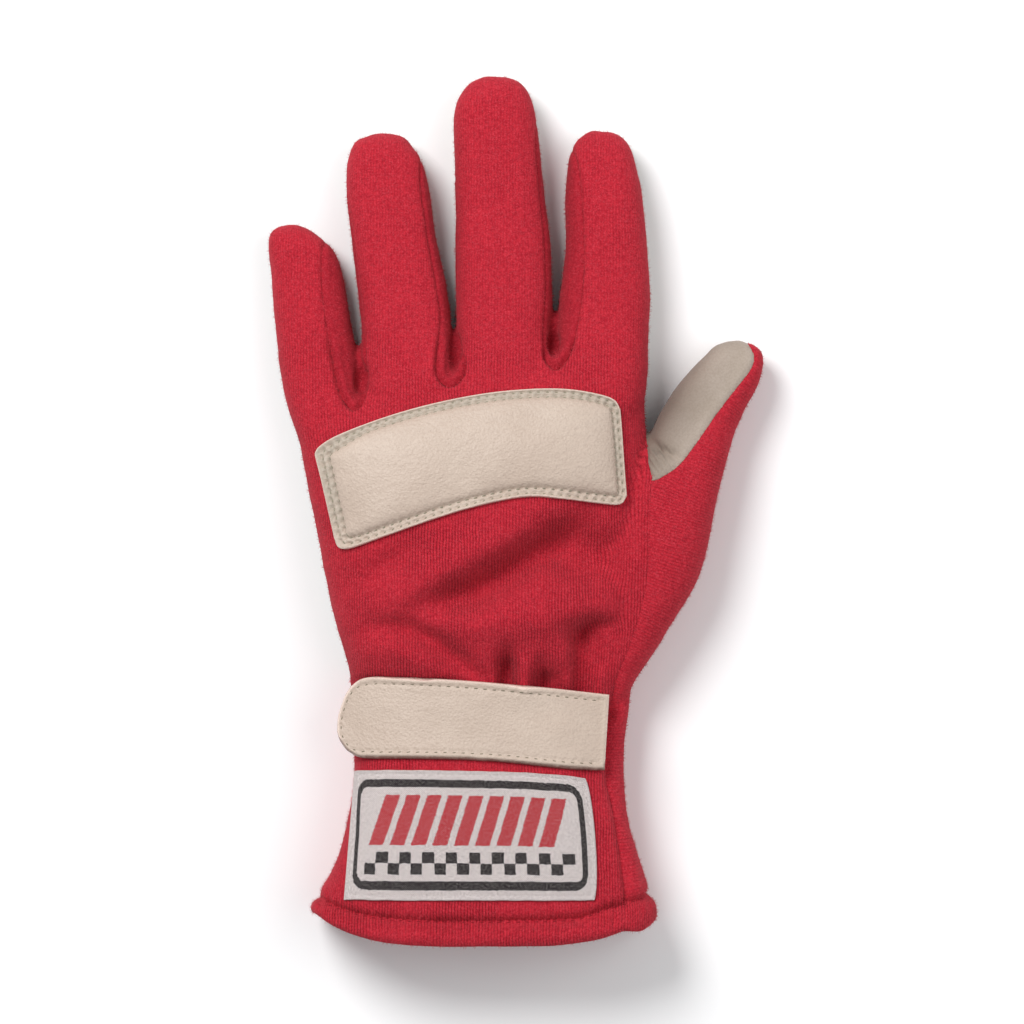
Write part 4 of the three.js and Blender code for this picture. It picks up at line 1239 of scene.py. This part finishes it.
patch = {
    "pitch": 0.45,  # mm between its grid lines
    "edge": 1.25,  # thickness of the leather at its cut edge
    "pad": 2.7,  # how far the padding lifts it
    "rise": 1.5,  # mm in which it rises behind the inner row
    "blown": 0.6,  # share of its form that is taken from the cloth simulation
    "outerRow": (1.15, 0.85),  # sewn row from the edge, and further at the left end
    "innerRow": (2.6, 1.4),
    "dip": 0.75,
}
patchStitch = {"pitch": 2.5, "long": 1.15, "wide": 0.4, "lean": 0.12, "proud": -0.02}
patchRows = columns(sheetNames, [
    (-57.6, 16.4, -52.2, -7.6), (-56.2, 18.7, -50.6, -10.4), (-50.3, 22.2, -47.2, -10.9),
    (-37, 27.2, -38, -7.7), (-23.6, 31, -27, -3.8), (-8.8, 33.9, -13, 0.6), (4.5, 35.2, 2, 3.7),
    (15, 35.2, 13, 3.4), (23.6, 33.9, 23, 2.2), (28.6, 32.2, 30, 1.7), (30.6, 29.4, 32.5, 4.2),
])

# the cloth simulation that blows up the pad
simulation = {
    "quality": 6,
    "mass": 0.25,
    "tension_stiffness": 8,
    "compression_stiffness": 8,
    "shear_stiffness": 4,
    "bending_stiffness": 0.05,
    "vertex_group_mass": "sewn",
    "shrink_min": -0.01,
    "use_pressure": True,
    "uniform_pressure_force": 4,
}
simulatedFrames = 20


def puffed(x, y, z, pinned):
    # the leather over its padding, blown up by a cloth simulation: how far each place rises
    bm = bmesh.new()
    layGrid(bm, np.stack([x, y, z], axis=-1)[:, ::-1], {})
    mesh = toMesh(bm, "paddedLeather", False)
    piece = addObject("paddedLeather", mesh)
    start = readAll(mesh.vertices, "co", 3)
    tree = flatTree(x * mm, y * mm)
    order = [tree.find((px, py, 0))[1] for px, py, _ in start]
    held = piece.vertex_groups.new(name="sewn")
    held.add([i for i, k in enumerate(order) if pinned.ravel()[k]], 1.0, "REPLACE")
    modifier = piece.modifiers.new("cloth", "CLOTH")
    for key, value in simulation.items():
        setattr(modifier.settings, key, value)
    modifier.settings.effector_weights.gravity = 0
    modifier.point_cache.frame_start = 1
    modifier.point_cache.frame_end = simulatedFrames
    for frameNumber in range(1, simulatedFrames + 1):
        bpy.context.scene.frame_set(frameNumber)
    graph = bpy.context.evaluated_depsgraph_get()
    end = readAll(piece.evaluated_get(graph).to_mesh().vertices, "co", 3)
    rise = np.zeros(x.size)
    rise[order] = (end - start)[:, 2] / mm
    bpy.context.scene.frame_set(1)
    bpy.data.objects.remove(piece)
    return rise.reshape(x.shape)


def blownCrown(x, y, under, past):
    # the simulation runs on a coarser grid; its rise is spread over the fine one, 1 at the top
    pick = [np.append(np.arange(0, size - 1, 3), size - 1) for size in x.shape]
    coarse = np.ix_(*pick)
    blown = puffed(x[coarse], y[coarse], under[coarse], past[coarse] <= 0)
    for _ in range(3):  # the leather is stiffer than the cloth
        blown = amongNeighbours(blown)
    print("cloth simulation lifts the pad by", round(blown.max(), 2), "mm")
    blown = np.stack([np.interp(np.arange(x.shape[1]), pick[1], row) for row in blown])
    blown = np.stack([np.interp(np.arange(x.shape[0]), pick[0], row) for row in blown.T], axis=1)
    return blown / blown.max()


def makePatch():
    x, y = sheetPlan(patchRows, patch["pitch"])
    rim, flat, deep = rimmed(x, y)
    rows = {name: inset(rim, *patch[name + "Row"]) for name in ("outer", "inner")}
    under = drape(lookDown(skinTree, x, y), 160)
    past = np.clip(insideBy(flat, rows["inner"]), 0, None)
    high = 0.2 + patch["edge"] * turnedEdge(deep, 0.45) + 0.25 * hump(deep - 0.6, 0.5)
    for line in rows.values():
        away, run = besideRow(x, y, looped(line))
        high -= patch["dip"] * hump(away, 0.5) * holes(run, patchStitch, 0.45)
    high -= 0.25 * hump(away, 1.0)  # the inner row is pulled in more
    lump = unevenness(flat, 1.3, 6)
    high += 0.22 * lump * ease(deep, 0.9, 1.6) * (past <= 0)
    pucker = unevenness(np.stack([run, past * 0.25, 0 * run], axis=-1), 1.9, 5)
    pucker *= np.exp(-past / 2.2) * (past > 0)
    crown = 1 - np.exp(-((past / (patch["rise"] * (1 + 0.2 * pucker))) ** 1.1))
    crown = patch["blown"] * blownCrown(x, y, under, past) + (1 - patch["blown"]) * crown
    high += patch["pad"] * crown + 0.12 * pucker
    creased = unevenness(flat @ [[0.42, -0.35, 0], [0.15, 1, 0], [0, 0, 0]], 1.5, 8)
    high += (0.1 * unevenness(flat, 9, 7) + 0.07 * creased) * ease(past, 0, 4)
    t = np.linspace(0, 1, x.shape[1])[None, :]
    band = ease(deep, 0.5, 0.9) * (1 - ease(past, 0, 0.5)) * (1 - 0.75 * ease(t, 0.6, 0.85))
    marks = {"rowBand": band * (0.75 + 0.5 * lump), "raw": 1 - ease(deep, 0.25, 0.6), "under": 0 * deep}
    piece, tree = sheetObject(
        "knuckle_patch_leather", *groundOf(x, y, under), high, np.full(x.shape, 0.15), "knuckle_patch",
        "cream_leather", looks["cream"], marks=marks,
    )
    for name, line in rows.items():
        sewRow("patch_stitches_" + name, looped(line), tree, patchStitch, looks["patchThread"])


makePatch()
print("knuckle patch")

strap = {
    "pitch": 0.5,
    "thick": 2.0,
    "edgeRow": 2.1,  # sewn row from the long edges
    "endRow": 1.2,  # and from the rounded end
    "rowEnd": 23.3,
    "liftFrom": -36,  # left of this the stiff tab falls less than the wrist does
    "fall": (0.34, 0.012),
    "flat": (0.0834, 0.0219),
}
strapStitch = {"pitch": 2.65, "long": 1.2, "wide": 0.34, "lean": 0.05, "proud": -0.02}
strapRows = columns(sheetNames, [
    (-51.3, -61.6, -51.3, -63.8), (-50.9, -58.8, -50.6, -66.2), (-49.4, -54.3, -48.8, -68.9),
    (-47.9, -51.6, -47.2, -70.1), (-46.2, -49.8, -45.5, -71), (-44, -48.5, -43.3, -71.5),
    (-40.5, -47.9, -40, -71.7), (-36, -47.9, -36, -71.7), (-27.4, -48.1, -27.4, -71.7),
    (-15.5, -48.8, -15.5, -71.9), (-3, -49.8, -3, -72.6), (7.7, -50.8, 7.7, -73.8),
    (18, -52, 17.2, -74.8), (27.4, -53.1, 26, -75),
])


def strapGround(x, y):
    # what the strap lies on: the wrist, and where that falls away, the line of its own stiff tab
    under = lookDown(skinTree, x, y)
    line = lookDown(skinTree, np.full(y.shape[1], float(strap["liftFrom"])), y[len(y) // 2])
    away = np.clip(strap["liftFrom"] - x, 0, None)
    tab = line[None, :] - strap["fall"][0] * away - strap["fall"][1] * away**2
    return drape(np.where(away > 0, np.maximum(under, tab), under), 700)


def makeStrap():
    x, y = sheetPlan(strapRows, strap["pitch"])
    rim, flat, deep = rimmed(x, y)
    row = inset(rim, strap["edgeRow"], strap["endRow"] - strap["edgeRow"], (42, 49))
    atEnd = row[:, 0] > strap["rowEnd"] + (row[:, 1] + 75) * 0.063
    first = int(np.argmax(atEnd & ~np.roll(atEnd, -1))) + 1  # no stitches across the right end
    row = np.roll(row, -first, axis=0)[: -int(atEnd.sum())]
    t = np.linspace(0, 1, x.shape[1])[None, :]
    slope = 0.5 + 0.5 * ease(t, 0.8, 0.95)  # its low edge leans out and shows its thickness
    away, run = besideRow(x, y, row)
    high = 0.3 + strap["thick"] * turnedEdge(deep, slope)
    high -= 0.42 * hump(away, 0.5) * holes(run, strapStitch, 0.4)
    high += 0.2 * hump(deep - 1.1, 0.7) + 0.16 * unevenness(flat, 7, 11) * ease(deep, 0, 3)
    # on the low edge the pale cut edge gives way to the back's brown: its fibrous back, and painted shade
    # where that edge faces away from the light
    lowEdge = ease(t, 0.8, 0.9)
    marks = {
        "rowBand": 0 * deep,
        "raw": (1 - ease(deep, 0.3, 0.75)) * (1 - lowEdge),
        "under": np.clip((1 - ease(deep, 0.45, 0.85)) * lowEdge * (1 + unevenness(flat, 0.9, 12)), 0, 1),
    }
    ground, up = groundOf(x, y, strapGround(x, y))
    up[..., :2] *= (1 - ease(-x, 40, 47))[..., None]  # its tab stays flat
    piece, tree = sheetObject(
        "wrist_strap_leather", ground, unit(up), high, np.full(x.shape, 0.3), "wrist_strap",
        "cream_leather", looks["cream"], marks=marks,
    )
    stitches = sewRow("strap_stitches", row, tree, strapStitch, looks["strapThread"])


makeStrap()
print("wrist strap")

label = {"pitch": 0.5, "thick": 0.7, "row": 1.3, "bulge": 1.6, "flat": (0.0725, 0.0374)}
labelStitch = {"pitch": 2.1, "long": 1.3, "wide": 0.3, "lean": 0.12, "proud": 0.03}
labelRows = columns(sheetNames, [
    (-46.1, -75.3, -49.2, -112.3), (-44.2, -75.1, -47, -112.3), (-41, -74.9, -43, -112.2),
    (-32, -74.8, -33, -112.3), (-21, -74.9, -21, -112.3), (-9, -75.1, -8.5, -112.3),
    (3, -75.5, 4.5, -112.3), (13, -76.2, 15.5, -112.3), (20.4, -77.2, 23, -112.2),
])


def makeLabel():
    x, y = sheetPlan(labelRows, label["pitch"])
    t = np.linspace(0, 1, x.shape[1])[None, :]
    x = x + label["bulge"] * 4 * t * (1 - t) * ease(x, 6, 22)
    y = y + 0.14 * unevenness(np.stack([x, 0 * x, 0 * x], axis=-1), 4, 41)
    rim, flat, deep = rimmed(x, y)
    row = looped(inset(rim, label["row"]))
    turn = 0.5 * turnedEdge(deep, 0.35)
    high = 0.25 + label["thick"] * (0.5 + turn)
    low = 0.25 + label["thick"] * (0.5 - turn)
    high -= 0.3 * hump(besideRow(x, y, row)[0], 0.45)
    high += 0.12 * unevenness(flat, 3.5, 13) + 0.2 * unevenness(flat, 11, 14)
    high += 0.3 * unevenness(flat, 1.7, 15) * hump(deep, 1.6)  # drawn up by its sewing
    piece, tree = sheetObject(
        "cuff_label_woven", *groundOf(x, y, drape(lookDown(skinTree, x, y), 40)), high, low,
        "cuff_label", "label_cloth", looks["label"], "labelMap",
    )
    stitches = sewRow("label_stitches", row, tree, labelStitch, looks["whiteThread"])


makeLabel()
print("cuff label")

hem = {
    "points": 420,  # round the cuff's end
    "wave": 0.35,
    "pucker": 0.3,
    "crimp": 0.8,  # the puckers beside its sewing
    "widest": -112.6,  # its sides go no further out than the cuff does here
}
# its cross-section, round from the groove over the roll and back inside the cuff:
# along the cuff, out from the cuff's surface, and how far its middle bows toward the opening
hemRows = columns("y out bow", [
    (-109.8, -2.2, 5.6), (-110.9, -2.1, 6.2), (-111.8, -1.7, 6.8), (-112.5, -0.5, 7.1),
    (-113.3, 0.6, 7.5), (-114.3, 1.2, 8), (-115.4, 1.1, 8.4), (-116.2, 0.3, 8.8), (-116.6, -0.9, 8.9),
    (-116.1, -2.3, 8.7), (-114.3, -3, 7.6), (-110.5, -3.1, 4.8), (-106.5, -3, 3.4), (-105.6, -2.6, 3.2),
    (-106.4, -2.2, 3.4), (-108.6, -2.1, 4.1),
])
hemStitch = {"pitch": 2.6, "long": 1.3, "wide": 0.4, "lean": 0.1, "proud": -0.05}


def makeHem():
    steps = len(hemRows["row"]) * 4
    closed = {key: np.append(hemRows[key], hemRows[key][0]) for key in ("y", "out", "bow")}
    closed["row"] = np.arange(len(closed["y"]), dtype=float)
    at = np.linspace(0, closed["row"][-1], steps, endpoint=False)
    along, out, bow = (column(closed, key, at, "row") for key in ("y", "out", "bow"))
    around = np.cumsum(np.hypot(np.diff(along, append=along[0]), np.diff(out, append=out[0])))
    nTop = int(hem["points"] * 0.66)
    rings = []
    notes = []
    for k in range(steps):
        place = max(along[k], hem["widest"])
        points, extra = handRing(place, out[k], nTop, hem["points"] - nTop)
        points[:, 1] = along[k] - bow[k] * bowAt(points[:, 0], place, out[k])
        rings.append(points)
        notes.append(np.stack([points[:, 0] + extra, np.full(len(points), around[k])], axis=1))
    rings = np.array(rings)
    along, out = along[:, None], out[:, None]
    wave = unevenness(rings * [1, 0.25, 1], 9, 21)
    pucker = unevenness(rings * [1, 0.4, 1], 2.1, 22)
    crimp = gathers(rings) * (1 - ease(-along, 112.6, 114.6))
    outer = hump(out - 0.9, 1.6) * (along < -111)
    rings[..., 1] += hemStep(rings[..., 0]) * (1 - ease(-along, 111.5, 114))
    # the seam's end makes the corner fuller
    rings[..., 1] -= 2.7 * ease(rings[..., 0], 30.5, 37.5) * ease(-along, 113, 116)
    rise = hem["wave"] * wave + hem["pucker"] * pucker + hem["crimp"] * crimp
    rings[..., 2] += rise * outer * (rings[..., 2] > 6)
    rings[..., 1] += 0.5 * wave * outer
    # underneath, each layer lies flat at its own height
    rings[..., 2] = np.maximum(rings[..., 2], np.maximum(-out, 0))
    bm = startMesh("across", "along")
    notes = np.array(notes)
    layTube(bm, np.concatenate([rings, rings[:1]]), np.concatenate([notes, notes[:1] + [0, around[-1]]]))
    bmesh.ops.remove_doubles(bm, verts=bm.verts, dist=1e-7)
    bmesh.ops.recalc_face_normals(bm, faces=bm.faces)
    tree = BVHTree.FromBMesh(bm)
    mesh = toMesh(bm, "cuff_hem")
    writeMap(mesh, "knitMap", plain=False)
    mesh.materials.append(looks["knit"])
    piece = addObject("cuff_hem_cloth", mesh)
    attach(piece, "root")
    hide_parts("cuff_hem")
    grooveX = np.linspace(-54.5, 38, 200)
    groove = np.stack([grooveX, grooveLine(grooveX) + 0.5], axis=1)
    sewRow("hem_stitches", groove, tree, hemStitch, looks["redThread"])
    return piece


cuffHem = makeHem()
print("hem")

fibres = {
    "count": 56000,
    "long": (0.6, 1.5),
    "wide": 0.11,
    "stand": 1.1,  # how much they stand up off the cloth
    "from": 1.5,  # there are none on the cloth lower than this
}


def strewFibres(pieces):
    # loose fibre ends stand off the knit and soften its outline
    draw = np.random.default_rng(17)
    faces = [piece.data.polygons for piece in pieces]
    spots, normals = (np.vstack([readAll(f, key, 3) for f in faces]) for key in ("center", "normal"))
    weights = np.concatenate([readAll(f, "area") for f in faces]) * (spots[:, 2] > fibres["from"] * mm)
    picked = draw.choice(len(spots), fibres["count"], p=weights / weights.sum())
    up = normals[picked]

    def across(ways):
        return ways - up * np.sum(ways * up, axis=1)[:, None]

    root = spots[picked] + across(draw.normal(0, 0.2 * mm, (len(picked), 3)))
    lean = unit(across(draw.normal(0, 1, (len(picked), 3))))
    way = unit(lean + up * (fibres["stand"] * draw.random(len(picked)))[:, None])
    side = unit(np.cross(way, up)) * fibres["wide"] / 2 * mm
    length = draw.uniform(*fibres["long"], len(picked))[:, None] * mm
    corners = np.stack([root - side, root + side, root + way * length], axis=1)
    mesh = bpy.data.meshes.new("knit_fibres")
    triangles = np.arange(len(picked) * 3).reshape(-1, 3)
    mesh.from_pydata(corners.reshape(-1, 3).tolist(), [], triangles.tolist())
    mesh.materials.append(looks["fibre"])
    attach(addObject("knit_fibres", mesh), "root")


strewFibres([cloth[name] for name, slot in panels.items() if slot == "knit"] + [cuffHem])
print("fibres")

studio = {
    "far": 3.0,  # camera above the glove, metres
    "across": 0.29696,  # width of the picture at the glove, metres
    "centre": (-0.725, -0.36),  # mm, the middle of the photograph on the glove
    "sensor": 36,
    "key": ((-0.62, 0.75, 1.25), 0.75, 20),  # place, size and power
    "fill": ((1.0, 0.1, 1.4), 1.4, 9),
    "room": ("#f2f4f6", 0.45),
    "floor": "#fafafa",
}


def makeStudio():
    bm = bmesh.new()
    bmesh.ops.create_grid(bm, x_segments=1, y_segments=1, size=4)
    mesh = toMesh(bm, "floor", False)
    gloss = {"Roughness": 0.9, "Specular IOR Level": 0.1}
    mesh.materials.append(finished(newMaterial("palePaint")[0], {"gloss": gloss}, studio["floor"]))
    addObject("floor", mesh)
    for name in ("key", "fill"):
        place, size, power = studio[name]
        light = bpy.data.lights.new(name, "AREA")
        light.shape = "DISK"
        light.size = size
        light.energy = power
        lamp = addObject(name, light)
        lamp.location = place
        lamp.rotation_mode = "QUATERNION"
        lamp.rotation_quaternion = (-Vector(place)).to_track_quat("-Z", "Y")
    world = bpy.data.worlds.new("room")
    bpy.context.scene.world = world
    world.use_nodes = True
    code, strength = studio["room"]
    world.node_tree.nodes["Background"].inputs[0].default_value = colour(code)
    world.node_tree.nodes["Background"].inputs[1].default_value = strength
    lens = bpy.data.cameras.new("camera")
    camera = addObject("camera", lens)
    lens.sensor_width = studio["sensor"]
    lens.lens = studio["sensor"] * studio["far"] / studio["across"]
    lens.clip_start = 0.1
    lens.clip_end = 20
    camera.location = (studio["centre"][0] * mm, studio["centre"][1] * mm, studio["far"] + 0.015)
    bpy.context.scene.camera = camera
    bpy.context.scene.view_settings.view_transform = "Standard"


makeStudio()
print("studio")
